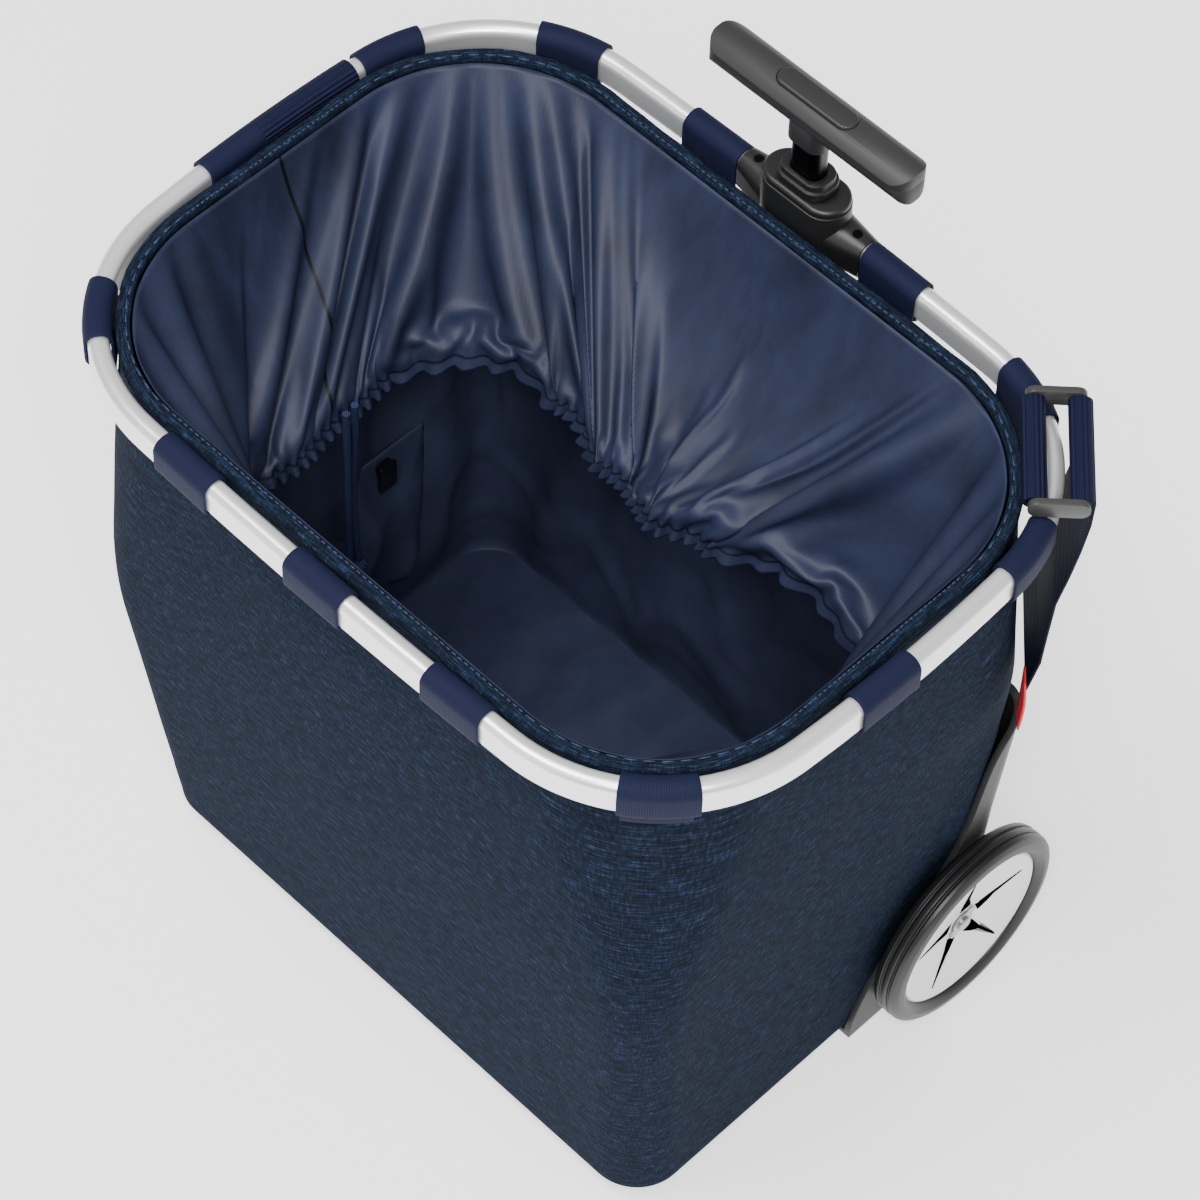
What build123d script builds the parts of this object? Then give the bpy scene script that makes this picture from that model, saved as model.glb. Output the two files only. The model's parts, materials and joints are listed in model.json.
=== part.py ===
from build123d import *
from math import cos, radians, sin
import os

# Shopping trolley: a soft tub hung in an oval metal rim, on a moulded two-wheel
# carriage, with a telescopic pole at the back. Millimetres, +Z up, floor at z = 0,
# +Y towards the pole, origin under the middle of the whole trolley.

# ---- rim ring -------------------------------------------------------------
RIM_Y = -4.0              # centre of the rim, a little in front of the origin
RIM_HALF_X = 210.0        # outside of the tube, to the middle of each short side
RIM_HALF_Y = 156.4        # outside of the tube, to the middle of each long side
RIM_CORNER_R = 96.0       # outside of the tube, at the corners
CORNER_X = 112.0          # centre of a corner arc
CORNER_Y = 58.5
TUBE_DEPTH = 10.0         # the tube's section, across the ring
TUBE_HEIGHT = 19.0        # and upright
TUBE_CORNER = 4.6         # rounding of the section
TUBE_WALL = 1.2
RIM_Z = 388.0             # height of the tube's centre line
RIM_GAP_HALF = 26.0       # the tube's two ends stop this far from the middle of the hub

# ---- webbing --------------------------------------------------------------
WEB = 1.4                 # thickness of the webbing
LOOP_WIDTH = 34.0         # webbing loops that hang the tub in the rim
STRAP_WIDTH = 57.0        # ribbed carrying straps
LOOP_TAIL = 20.0          # how far a loop's tail runs down below the tube

# ---- tub ------------------------------------------------------------------
# heights of the tub's sections, with half width, front, back and corner radius there
FLOOR_Z, WAIST_Z, SHOULDER_Z, CHEST_Z, TOP_Z = 7.0, 125.0, 213.0, 290.0, 388.0
TUB_HALF_X = {FLOOR_Z: 171.5, WAIST_Z: 176.0, SHOULDER_Z: 182.5, CHEST_Z: 188.0, TOP_Z: 194.5}
TUB_FRONT = {FLOOR_Z: -121.0, WAIST_Z: -129.0, SHOULDER_Z: -136.0, CHEST_Z: -141.0, TOP_Z: -145.0}
TUB_BACK = {FLOOR_Z: 113.0, WAIST_Z: 117.0, SHOULDER_Z: 119.5, CHEST_Z: 124.0, TOP_Z: 130.0}
TUB_CORNER = {FLOOR_Z: 30.0, WAIST_Z: 30.0, SHOULDER_Z: 30.0, CHEST_Z: 54.0, TOP_Z: 84.0}
FABRIC = 2.5              # padded outer fabric
LINER = 0.8
GAP = 0.3                 # clearance between soft pieces and their neighbours

# ---- pole -----------------------------------------------------------------
POLE_Y = 146.0
OUTER_X, OUTER_Y, OUTER_R = 26.0, 20.0, 6.0
MIDDLE_X, MIDDLE_Y, MIDDLE_R = 21.5, 15.5, 5.0
INNER_X, INNER_Y, INNER_R = 17.0, 11.5, 4.5
POLE_WALL = 1.2
OUTER_BOTTOM, OUTER_TOP = 24.0, 402.0
MIDDLE_BOTTOM, MIDDLE_TOP = 34.0, 412.3
INNER_BOTTOM, INNER_TOP = 44.0, 451.5
POLE_TRAVEL = 265.0       # travel of each telescopic stage
LOCK_R = 2.0              # lock pins
SLIDE_FIT = 0.1           # running clearance of the telescopic guides

# ---- hub ------------------------------------------------------------------
HUB_X, HUB_DEPTH = 48.0, 25.0
HUB_BOTTOM, HUB_TOP = 366.0, 408.0
BEZEL_TOP = 412.0
BOOT_TOP = 421.0
COLLAR_IN, COLLAR_OUT = 16.0, 38.0

# ---- grip -----------------------------------------------------------------
GRIP_Y = 148.0
GRIP_LENGTH, GRIP_DEPTH, GRIP_CORNER = 122.0, 22.0, 9.0
GRIP_PARTING = 458.5
GRIP_CROWN = 466.0
GRIP_WALL = 2.2
BUTTON_LENGTH, BUTTON_DEPTH = 46.0, 11.0
BUTTON_TOP = 466.8
FLANGE_BOTTOM, FLANGE_TOP = 459.3, 460.8
SEAT_TOP = 453.0

# ---- carriage and wheels ----------------------------------------------------
SHELL = 3.4               # wall of the carriage moulding
CARRIAGE_R = 16.0
WHEEL_Y, WHEEL_Z = 87.6, 57.8
TYRE_R, DISC_R = 57.8, 46.6
TYRE_IN, TYRE_OUT = 180.8, 197.0
AXLE_R = 4.0
RUNNING_FIT = 0.05
BUSH_R = 7.0
HUB_FACE = 187.5          # outside face of the wheel's hub
FOOT_BACK = 162.1

SIDES = {"left": -1, "right": 1}


def quarter(inset):
    """Start, middle and end of the rim's corner arc, from the long side to the short one."""
    long_r = (CORNER_X**2 + (CORNER_Y - RIM_HALF_Y) ** 2 - RIM_CORNER_R**2) / (
        2 * (RIM_HALF_Y - CORNER_Y - RIM_CORNER_R)
    )
    short_r = (CORNER_Y**2 + (CORNER_X - RIM_HALF_X) ** 2 - RIM_CORNER_R**2) / (
        2 * (RIM_HALF_X - CORNER_X - RIM_CORNER_R)
    )
    centre = Vector(CORNER_X, CORNER_Y)
    to_long = (centre - Vector(0, RIM_HALF_Y - long_r)).normalized()
    to_short = (centre - Vector(RIM_HALF_X - short_r, 0)).normalized()
    to_middle = (to_long + to_short).normalized()
    radius = RIM_CORNER_R - inset
    return [centre + way * radius for way in (to_long, to_middle, to_short)]


def corner_arc(inset, side_x, side_y):
    """Draws one corner of the rim's outline."""
    ThreePointArc(*[(side_x * p.X, side_y * p.Y + RIM_Y) for p in quarter(inset)])


def short_arc(inset, side_x):
    """Draws one bowed short side of the rim's outline."""
    end = quarter(inset)[2]
    low = (side_x * end.X, -end.Y + RIM_Y)
    high = (side_x * end.X, end.Y + RIM_Y)
    ThreePointArc(low, (side_x * (RIM_HALF_X - inset), RIM_Y), high)


def back_y(x, inset):
    """Where the bowed back side runs, at a distance x from the middle."""
    start = quarter(inset)[0]
    bow = RIM_HALF_Y - inset - start.Y
    return RIM_Y + RIM_HALF_Y - inset - bow * (x / start.X) ** 2


def rim_start():
    """The plane across the start of the ring's line, with its x outwards and its y upwards."""
    start = (RIM_GAP_HALF, back_y(RIM_GAP_HALF, TUBE_DEPTH / 2), RIM_Z)
    return Plane(origin=start, x_dir=(0, 1, 0), z_dir=(1, 0, 0))


def rim_section(depth, height, corner):
    """Draws the tube's section across the start of the ring's line."""
    with BuildSketch(rim_start()) as section:
        RectangleRounded(depth, height, corner)
    return section


def ring_line():
    """The tube's centre line, from one end at the hub round to the other."""
    inset = TUBE_DEPTH / 2
    start = quarter(inset)[0]
    reach = RIM_GAP_HALF
    half = (start.X + reach) / 2
    with BuildLine(Plane.XY.offset(RIM_Z)) as line:
        for side in (1, -1):
            ThreePointArc(
                (side * reach, back_y(reach, inset)),
                (side * half, back_y(half, inset)),
                (side * start.X, start.Y + RIM_Y),
            )
            corner_arc(inset, side, 1)
            short_arc(inset, side)
            corner_arc(inset, side, -1)
        ThreePointArc(
            (-start.X, -start.Y + RIM_Y),
            (0, -RIM_HALF_Y + inset + RIM_Y),
            (start.X, -start.Y + RIM_Y),
        )
    return line


def tub_section(height, inset, mode=Mode.ADD):
    """Draws the tub's outline at one height, moved inwards by inset."""
    half_x = TUB_HALF_X[height] - inset
    front, back = TUB_FRONT[height] + inset, TUB_BACK[height] - inset
    with Locations((0, (front + back) / 2)):
        RectangleRounded(2 * half_x, back - front, TUB_CORNER[height] - inset, mode=mode)


def tub_form(inset, bottom=FLOOR_Z):
    """The tub's tapered form, moved inwards by inset and starting at a height."""
    levels = (FLOOR_Z, WAIST_Z, SHOULDER_Z, CHEST_Z, TOP_Z)
    with BuildPart() as form:
        for height in levels:
            with BuildSketch(Plane.XY.offset(height)):
                tub_section(height, inset)
        loft(ruled=True)
        if bottom > FLOOR_Z:
            split(bisect_by=Plane.XY.offset(bottom), keep=Keep.TOP)
    return form.part


def pole_bar(size_x, size_y, corner, bottom, top, centre_y=POLE_Y):
    """A solid bar with the section of one of the pole's stages."""
    with BuildPart() as bar:
        with BuildSketch(Plane.XY.offset(bottom)):
            with Locations((0, centre_y)):
                RectangleRounded(size_x, size_y, corner)
        extrude(amount=top - bottom)
    return bar.part


def hollow_bar(size_x, size_y, corner, bottom, top, wall):
    """A tube with the section of one of the pole's stages."""
    with BuildPart() as bar:
        add(pole_bar(size_x, size_y, corner, bottom, top))
        bore = pole_bar(size_x - 2 * wall, size_y - 2 * wall, corner - wall, bottom, top)
        add(bore, mode=Mode.SUBTRACT)
    return bar.part


def pin_bar(radius, height, front, back, x=0.0):
    """A round pin along Y."""
    with BuildPart() as pin:
        with BuildSketch(Plane(origin=(x, front, height), z_dir=(0, 1, 0))):
            Circle(radius)
        extrude(amount=back - front)
    return pin.part


def upright(x, y, radius, bottom, top):
    """A round bar along Z."""
    with BuildPart() as bar:
        with BuildSketch(Plane.XY.offset(bottom)):
            with Locations((x, y)):
                Circle(radius)
        extrude(amount=top - bottom)
    return bar.part


def write(part, name):
    """Labels one finished piece and writes it to its own file."""
    part.label = name
    export_step(part, f"parts/{name}.step")


os.makedirs("parts", exist_ok=True)

# =============================================================================
# Rim: an aluminium tube bent to a ring, its two ends held in the hub's collars
# =============================================================================
ring_path = ring_line()
tube_section = rim_section(TUBE_DEPTH, TUBE_HEIGHT, TUBE_CORNER)
bore_section = rim_section(TUBE_DEPTH - 2 * TUBE_WALL, TUBE_HEIGHT - 2 * TUBE_WALL, TUBE_CORNER - TUBE_WALL)

with BuildPart() as rim_tube:
    sweep(sections=tube_section.sketch, path=ring_path.line)
    sweep(sections=bore_section.sketch, path=ring_path.line, mode=Mode.SUBTRACT)

# the webbing that wraps the tube, all round, with its tail towards the tub's hem;
# each loop is one short length of it
sleeve_bore = (TUBE_DEPTH + 2 * GAP, TUBE_HEIGHT + 2 * GAP, TUBE_CORNER + GAP)
with BuildSketch(rim_start()) as sleeve_section:
    RectangleRounded(sleeve_bore[0] + 2 * WEB, sleeve_bore[1] + 2 * WEB, sleeve_bore[2] + WEB)
    with Locations((-(sleeve_bore[0] + WEB) / 2, -(TUBE_HEIGHT / 2 + LOOP_TAIL) / 2)):
        Rectangle(WEB, TUBE_HEIGHT / 2 + LOOP_TAIL)
with BuildPart() as bore_envelope:
    sweep(sections=rim_section(*sleeve_bore).sketch, path=ring_path.line)
with BuildPart() as sleeve:
    sweep(sections=sleeve_section.sketch, path=ring_path.line)
    add(bore_envelope.part, mode=Mode.SUBTRACT)

# name, middle of the loop on the rim, and the way the tube runs there, in degrees
front_side = RIM_Y - RIM_HALF_Y
back_side = RIM_Y + RIM_HALF_Y
corner_reach = RIM_CORNER_R * cos(radians(45))
front_corner = (CORNER_X + corner_reach, RIM_Y - CORNER_Y - corner_reach)
LOOP_PLACES = {
    "loop_front_middle": ((0.0, front_side), 0),
    "loop_front_left": ((-84.5, front_side), 0),
    "loop_front_right": ((84.5, front_side), 0),
    "loop_corner_left": ((-front_corner[0], front_corner[1]), -45),
    "loop_corner_right": (front_corner, 45),
    "loop_side_left_front": ((-RIM_HALF_X, RIM_Y - 17.0), 90),
    "loop_side_right_front": ((RIM_HALF_X, RIM_Y - 17.0), 90),
    "loop_side_left_back": ((-RIM_HALF_X, RIM_Y + 76.0), 99),
    "loop_side_right_back": ((RIM_HALF_X, RIM_Y + 76.0), 81),
    "loop_back_left_outer": ((-146.0, back_side - 7.0), 20),
    "loop_back_right_outer": ((146.0, back_side - 7.0), -20),
    "loop_back_left_inner": ((-56.0, back_side), 0),
    "loop_back_right_inner": ((56.0, back_side), 0),
}
REACH = 60.0
for loop_name, (place, turn) in LOOP_PLACES.items():
    run = (cos(radians(turn)), sin(radians(turn)), 0)
    with BuildPart() as loop:
        add(sleeve.part)
        with BuildSketch(Plane(origin=(place[0], place[1], RIM_Z), x_dir=run, z_dir=(0, 0, 1))):
            Rectangle(LOOP_WIDTH, REACH)
        extrude(amount=REACH / 2, both=True, mode=Mode.INTERSECT)
    write(loop.part, loop_name)

# =============================================================================
# Hub: the black moulding at the back that joins rim and pole
# =============================================================================
with BuildPart() as hub_body:
    with BuildSketch(Plane.XY.offset(HUB_BOTTOM)):
        with Locations((0, POLE_Y)):
            SlotOverall(HUB_X, HUB_DEPTH)
    extrude(amount=HUB_TOP - HUB_BOTTOM)
    chamfer(hub_body.faces().sort_by(Axis.Z)[0].edges(), 1.5)
    add(pole_bar(OUTER_X, OUTER_Y, OUTER_R, HUB_BOTTOM, HUB_TOP), mode=Mode.SUBTRACT)

with BuildPart() as hub_bezel:
    with BuildSketch(Plane.XY.offset(HUB_TOP)):
        with Locations((0, POLE_Y)):
            SlotOverall(HUB_X - 1.0, HUB_DEPTH - 1.0)
    extrude(amount=BEZEL_TOP - HUB_TOP)
    chamfer(hub_bezel.faces().sort_by(Axis.Z)[-1].edges(), 1.2)
    opening = pole_bar(MIDDLE_X + 1.0, MIDDLE_Y + 1.0, MIDDLE_R + 0.5, HUB_TOP, BEZEL_TOP)
    add(opening, mode=Mode.SUBTRACT)

COLLAR_BIG, COLLAR_SMALL = (24.0, 26.0, 11.5), (14.0, 22.5, 6.5)
SCREW_X, SCREW_R, SCREW_HEAD_R = 31.0, 1.2, 2.4
collar_y = back_y(SCREW_X, TUBE_DEPTH / 2)
collar_parts = []
for side in SIDES.values():
    with BuildPart() as collar:
        for x, (depth, height, corner) in ((COLLAR_IN, COLLAR_BIG), (COLLAR_OUT, COLLAR_SMALL)):
            plane = Plane(origin=(side * x, collar_y, RIM_Z), x_dir=(0, 1, 0), z_dir=(side, 0, 0))
            with BuildSketch(plane):
                RectangleRounded(depth, height, corner)
        loft(ruled=True)
        add(bore_envelope.part, mode=Mode.SUBTRACT)
        with BuildSketch(Plane.XY.offset(HUB_BOTTOM)):
            with Locations((0, POLE_Y)):
                SlotOverall(HUB_X, HUB_DEPTH)
        extrude(amount=HUB_TOP - HUB_BOTTOM, mode=Mode.SUBTRACT)
        add(upright(side * SCREW_X, collar_y, SCREW_HEAD_R, RIM_Z + 10.6, BOOT_TOP), mode=Mode.SUBTRACT)
        add(upright(side * SCREW_X, collar_y, SCREW_R, RIM_Z, BOOT_TOP), mode=Mode.SUBTRACT)
    collar_parts.append(collar.part)
with BuildPart() as hub_collars:
    add(collar_parts)

with BuildPart() as hub_screws:
    for side in SIDES.values():
        add(upright(side * SCREW_X, collar_y, SCREW_HEAD_R, RIM_Z + 10.6, RIM_Z + 11.8))
        add(upright(side * SCREW_X, collar_y, SCREW_R, RIM_Z + 7.0, RIM_Z + 10.6))

with BuildPart(mode=Mode.PRIVATE) as rim_screw_holes:
    for side in SIDES.values():
        add(upright(side * SCREW_X, collar_y, SCREW_R, RIM_Z, BOOT_TOP))
with BuildPart() as drilled_rim_tube:
    add(rim_tube.part)
    add(rim_screw_holes.part, mode=Mode.SUBTRACT)

# =============================================================================
# Pole: two sliding stages in a fixed tube, with guides, sliders and lock pins
# =============================================================================
middle_lock_z = MIDDLE_BOTTOM - 3.5
inner_lock_z = INNER_BOTTOM - 4.0
LOCK_HOLE_R = LOCK_R + 0.2

with BuildPart() as pole_outer_tube:
    add(hollow_bar(OUTER_X, OUTER_Y, OUTER_R, OUTER_BOTTOM, OUTER_TOP, POLE_WALL))
    hole = pin_bar(LOCK_HOLE_R, middle_lock_z + POLE_TRAVEL, POLE_Y, POLE_Y + OUTER_Y)
    add(hole, mode=Mode.SUBTRACT)

with BuildPart() as pole_middle_tube:
    add(hollow_bar(MIDDLE_X, MIDDLE_Y, MIDDLE_R, MIDDLE_BOTTOM, MIDDLE_TOP, POLE_WALL))
    hole = pin_bar(LOCK_HOLE_R, inner_lock_z + POLE_TRAVEL, POLE_Y, POLE_Y + OUTER_Y)
    add(hole, mode=Mode.SUBTRACT)

with BuildPart() as pole_inner_tube:
    add(hollow_bar(INNER_X, INNER_Y, INNER_R, INNER_BOTTOM, INNER_TOP, POLE_WALL))

GUIDE_DEEP = 18.0
with BuildPart() as outer_guide:
    sleeve_x, sleeve_y = OUTER_X - 2 * POLE_WALL, OUTER_Y - 2 * POLE_WALL
    add(pole_bar(sleeve_x, sleeve_y, OUTER_R - POLE_WALL, OUTER_TOP - GUIDE_DEEP, OUTER_TOP))
    add(pole_bar(OUTER_X, OUTER_Y, OUTER_R, OUTER_TOP, HUB_TOP))
    passage = (MIDDLE_X + 2 * SLIDE_FIT, MIDDLE_Y + 2 * SLIDE_FIT, MIDDLE_R + SLIDE_FIT)
    add(pole_bar(*passage, OUTER_TOP - GUIDE_DEEP, HUB_TOP), mode=Mode.SUBTRACT)

BOOT_X, BOOT_Y, BOOT_R = 29.0, 20.5, 8.5
with BuildPart() as middle_guide:
    sleeve_x, sleeve_y = MIDDLE_X - 2 * POLE_WALL, MIDDLE_Y - 2 * POLE_WALL
    add(pole_bar(sleeve_x, sleeve_y, MIDDLE_R - POLE_WALL, MIDDLE_TOP - GUIDE_DEEP, MIDDLE_TOP))
    for height, depth, shrink in ((MIDDLE_TOP, 5.0, 0.0), (MIDDLE_TOP + 5.0, 3.7, 1.5)):
        stage = (BOOT_X - 2 * shrink, BOOT_Y - 2 * shrink, BOOT_R - shrink)
        add(pole_bar(*stage, height, height + depth))
    passage = (INNER_X + 2 * SLIDE_FIT, INNER_Y + 2 * SLIDE_FIT, INNER_R + SLIDE_FIT)
    add(pole_bar(*passage, MIDDLE_TOP - GUIDE_DEEP, BOOT_TOP), mode=Mode.SUBTRACT)

SLIDER_PLAY = 0.2
SLIDER_SLEEVE = 26.0
with BuildPart() as middle_slider:
    block_x = OUTER_X - 2 * (POLE_WALL + SLIDER_PLAY)
    block_y = OUTER_Y - 2 * (POLE_WALL + SLIDER_PLAY)
    block = (block_x, block_y, OUTER_R - POLE_WALL - SLIDER_PLAY)
    add(pole_bar(*block, MIDDLE_BOTTOM - 7.0, MIDDLE_BOTTOM + SLIDER_SLEEVE))
    seat = (MIDDLE_X, MIDDLE_Y, MIDDLE_R)
    add(pole_bar(*seat, MIDDLE_BOTTOM, MIDDLE_BOTTOM + SLIDER_SLEEVE), mode=Mode.SUBTRACT)
    hole = pin_bar(LOCK_R + RUNNING_FIT, middle_lock_z, POLE_Y - 5.0, POLE_Y + OUTER_Y)
    add(hole, mode=Mode.SUBTRACT)

with BuildPart() as inner_slider:
    block_x = MIDDLE_X - 2 * (POLE_WALL + SLIDER_PLAY)
    block_y = MIDDLE_Y - 2 * (POLE_WALL + SLIDER_PLAY)
    block = (block_x, block_y, MIDDLE_R - POLE_WALL - SLIDER_PLAY)
    add(pole_bar(*block, INNER_BOTTOM - 8.0, INNER_BOTTOM + SLIDER_SLEEVE))
    seat = (INNER_X, INNER_Y, INNER_R)
    add(pole_bar(*seat, INNER_BOTTOM, INNER_BOTTOM + SLIDER_SLEEVE), mode=Mode.SUBTRACT)
    hole = pin_bar(LOCK_R + RUNNING_FIT, inner_lock_z, POLE_Y - 4.5, POLE_Y + OUTER_Y)
    add(hole, mode=Mode.SUBTRACT)

with BuildPart() as middle_lock_pin:
    add(pin_bar(LOCK_R, middle_lock_z, POLE_Y - 2.0, POLE_Y + 8.4))
with BuildPart() as inner_lock_pin:
    add(pin_bar(LOCK_R, inner_lock_z, POLE_Y - 1.5, POLE_Y + 6.3))

with BuildPart() as release_rod:
    add(upright(0, POLE_Y, 1.5, INNER_BOTTOM + 4.0, FLANGE_BOTTOM - GAP))

# =============================================================================
# Grip: two shells screwed together, with a sprung release button on top
# =============================================================================
def grip_form(inset, low, high):
    """The grip's outside between two heights, or its inside when moved inwards by inset."""
    half = GRIP_DEPTH / 2 - inset
    crown = GRIP_CROWN - inset
    edge = GRIP_PARTING + 2.5 - inset
    with BuildPart() as form:
        with BuildSketch(Plane(origin=(-GRIP_LENGTH / 2, GRIP_Y, 0), x_dir=(0, 1, 0), z_dir=(1, 0, 0))):
            with BuildLine():
                ThreePointArc((-half, edge), (0, crown), (half, edge))
                Line((half, edge), (half, GRIP_PARTING))
                ThreePointArc((half, GRIP_PARTING), (0, GRIP_PARTING - half), (-half, GRIP_PARTING))
                Line((-half, GRIP_PARTING), (-half, edge))
            make_face()
        extrude(amount=GRIP_LENGTH)
        with BuildSketch(Plane.XY.offset(low)):
            with Locations((0, GRIP_Y)):
                RectangleRounded(GRIP_LENGTH - 2 * inset, GRIP_DEPTH - 2 * inset, GRIP_CORNER - inset)
        extrude(amount=high - low, mode=Mode.INTERSECT)
    return form.part


GRIP_SCREW_X, GRIP_BOSS_R = 42.0, 3.6
GRIP_SCREW_R, GRIP_SCREW_HEAD_R = 1.4, 2.5
grip_bottom = GRIP_PARTING - GRIP_DEPTH / 2
PILOT_TOP = GRIP_CROWN - 3.5


def grip_shell(low, high):
    """One half of the grip, hollow, with its screw bosses drilled."""
    with BuildPart() as shell:
        add(grip_form(0, low, high))
        add(grip_form(GRIP_WALL, low, high), mode=Mode.SUBTRACT)
        boss_low, boss_high = max(low, grip_bottom + 1.0), min(high, GRIP_CROWN - 1.0)
        for side in SIDES.values():
            x = side * GRIP_SCREW_X
            add(upright(x, GRIP_Y, GRIP_BOSS_R, boss_low, boss_high))
            add(upright(x, GRIP_Y, GRIP_SCREW_R, grip_bottom - 1.0, PILOT_TOP), mode=Mode.SUBTRACT)
            add(upright(x, GRIP_Y, GRIP_SCREW_HEAD_R, grip_bottom - 1.0, grip_bottom + 2.4), mode=Mode.SUBTRACT)
    return shell.part


with BuildPart() as grip_upper:
    add(grip_shell(GRIP_PARTING, GRIP_CROWN + 1.0))
    with BuildSketch(Plane.XY.offset(GRIP_PARTING - 1.0)):
        with Locations((0, GRIP_Y)):
            SlotOverall(BUTTON_LENGTH + 0.6, BUTTON_DEPTH + 0.6)
    extrude(amount=GRIP_DEPTH, mode=Mode.SUBTRACT)

NECK_X, NECK_Y, NECK_BOTTOM = 21.0, 15.5, 441.0
with BuildPart() as grip_lower:
    add(grip_shell(grip_bottom - 1.0, GRIP_PARTING))
    add(pole_bar(NECK_X, NECK_Y, 6.0, NECK_BOTTOM, SEAT_TOP))
    add(pole_bar(INNER_X, INNER_Y, INNER_R, NECK_BOTTOM, INNER_TOP), mode=Mode.SUBTRACT)
    add(upright(0, POLE_Y, 1.8, INNER_TOP, SEAT_TOP), mode=Mode.SUBTRACT)

with BuildPart() as release_button:
    for length, depth, low, high in (
        (BUTTON_LENGTH, BUTTON_DEPTH, FLANGE_BOTTOM, BUTTON_TOP),
        (BUTTON_LENGTH + 4.0, BUTTON_DEPTH + 2.0, FLANGE_BOTTOM, FLANGE_TOP),
    ):
        with BuildSketch(Plane.XY.offset(low)):
            with Locations((0, GRIP_Y)):
                SlotOverall(length, depth)
        extrude(amount=high - low)
    chamfer(release_button.faces().sort_by(Axis.Z)[-1].edges(), 0.6)

WIRE_R, COIL_R, COIL_TURNS = 0.35, 3.0, 3
coil_low, coil_high = SEAT_TOP + WIRE_R + 0.05, FLANGE_BOTTOM - WIRE_R - 0.05
coil_pitch = (coil_high - coil_low) / COIL_TURNS
with BuildPart() as button_spring:
    with BuildLine():
        coil = Helix(coil_pitch, coil_high - coil_low, COIL_R, center=(0, POLE_Y, coil_low))
    with BuildSketch(Plane(origin=coil @ 0, z_dir=coil % 0)):
        Circle(WIRE_R)
    sweep(path=coil)

with BuildPart() as grip_screws:
    for side in SIDES.values():
        add(upright(side * GRIP_SCREW_X, GRIP_Y, GRIP_SCREW_R, grip_bottom + 2.4, PILOT_TOP))
        add(upright(side * GRIP_SCREW_X, GRIP_Y, GRIP_SCREW_HEAD_R, grip_bottom + 1.0, grip_bottom + 2.4))

# =============================================================================
# Tub: outer bag, liner, base board, hem, gathered collar and the pocket inside
# =============================================================================
with BuildPart() as bag_body:
    add(tub_form(0))
    fillet(bag_body.edges().group_by(Axis.Z)[0], 6.0)
    add(tub_form(FABRIC, FLOOR_Z + FABRIC), mode=Mode.SUBTRACT)

LINER_OUT = FABRIC + GAP
LINER_TOP = 384.0
liner_floor = FLOOR_Z + FABRIC + GAP
with BuildPart() as bag_liner:
    add(tub_form(LINER_OUT, liner_floor))
    add(tub_form(LINER_OUT + LINER, liner_floor + LINER), mode=Mode.SUBTRACT)
    split(bisect_by=Plane.XY.offset(LINER_TOP), keep=Keep.BOTTOM)

BOARD = 3.0
board_low = liner_floor + LINER
with BuildPart() as base_board:
    with BuildSketch(Plane.XY.offset(board_low)):
        tub_section(FLOOR_Z, LINER_OUT + LINER + 1.5)
    extrude(amount=BOARD)

HEM_OUT, HEM_IN, HEM_HEIGHT = 1.6, 5.5, 7.5
with BuildPart() as rim_hem:
    with BuildSketch(Plane.XY.offset(TOP_Z)):
        tub_section(TOP_Z, -HEM_OUT)
        tub_section(TOP_Z, HEM_IN, mode=Mode.SUBTRACT)
    extrude(amount=HEM_HEIGHT)

# the collar hangs from the hem into the tub and is drawn in by its cord
COLLAR_EDGE_Z = 294.0
COLLAR_EDGE_X, COLLAR_EDGE_Y = 12.0, -36.0
COLLAR_EDGE_HALF = (139.0, 76.0)
COLLAR_EDGE_R = 62.0
COLLAR_CLOTH = 1.6
collar_inset = LINER_OUT + LINER + 2.0
with BuildPart() as gathered_collar:
    for inset, mode in ((0.0, Mode.ADD), (COLLAR_CLOTH, Mode.SUBTRACT)):
        with BuildSketch(Plane.XY.offset(LINER_TOP)) as collar_top:
            tub_section(TOP_Z, collar_inset + inset)
        with BuildSketch(Plane.XY.offset(COLLAR_EDGE_Z)) as collar_edge:
            with Locations((COLLAR_EDGE_X, COLLAR_EDGE_Y)):
                RectangleRounded(
                    2 * (COLLAR_EDGE_HALF[0] - inset),
                    2 * (COLLAR_EDGE_HALF[1] - inset),
                    COLLAR_EDGE_R - inset,
                )
        loft(sections=[collar_top.sketch, collar_edge.sketch], ruled=True, mode=mode)

# flat pocket with a zip, on the left wall
POCKET_X, POCKET_THICK = -169.0, 4.0
POCKET_BACK, POCKET_FRONT = 62.0, -48.0
POCKET_LOW, POCKET_HIGH = 34.0, 138.0
ZIP_Z, ZIP_TAPE = 146.0, 1.2
with BuildPart() as inner_pocket:
    with BuildSketch(Plane(origin=(POCKET_X + GAP, 0, 0), x_dir=(0, 1, 0), z_dir=(1, 0, 0))):
        with Locations(((POCKET_BACK + POCKET_FRONT) / 2, (POCKET_LOW + POCKET_HIGH) / 2)):
            RectangleRounded(POCKET_BACK - POCKET_FRONT, POCKET_HIGH - POCKET_LOW, 8.0)
    extrude(amount=POCKET_THICK)
    with BuildSketch(Plane(origin=(POCKET_X + GAP, 0, 0), x_dir=(0, 1, 0), z_dir=(1, 0, 0))):
        with Locations(((POCKET_BACK + POCKET_FRONT) / 2, (POCKET_HIGH + ZIP_Z + 6.0) / 2)):
            Rectangle(POCKET_BACK - POCKET_FRONT - 16.0, ZIP_Z + 6.0 - POCKET_HIGH)
    extrude(amount=ZIP_TAPE)

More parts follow.
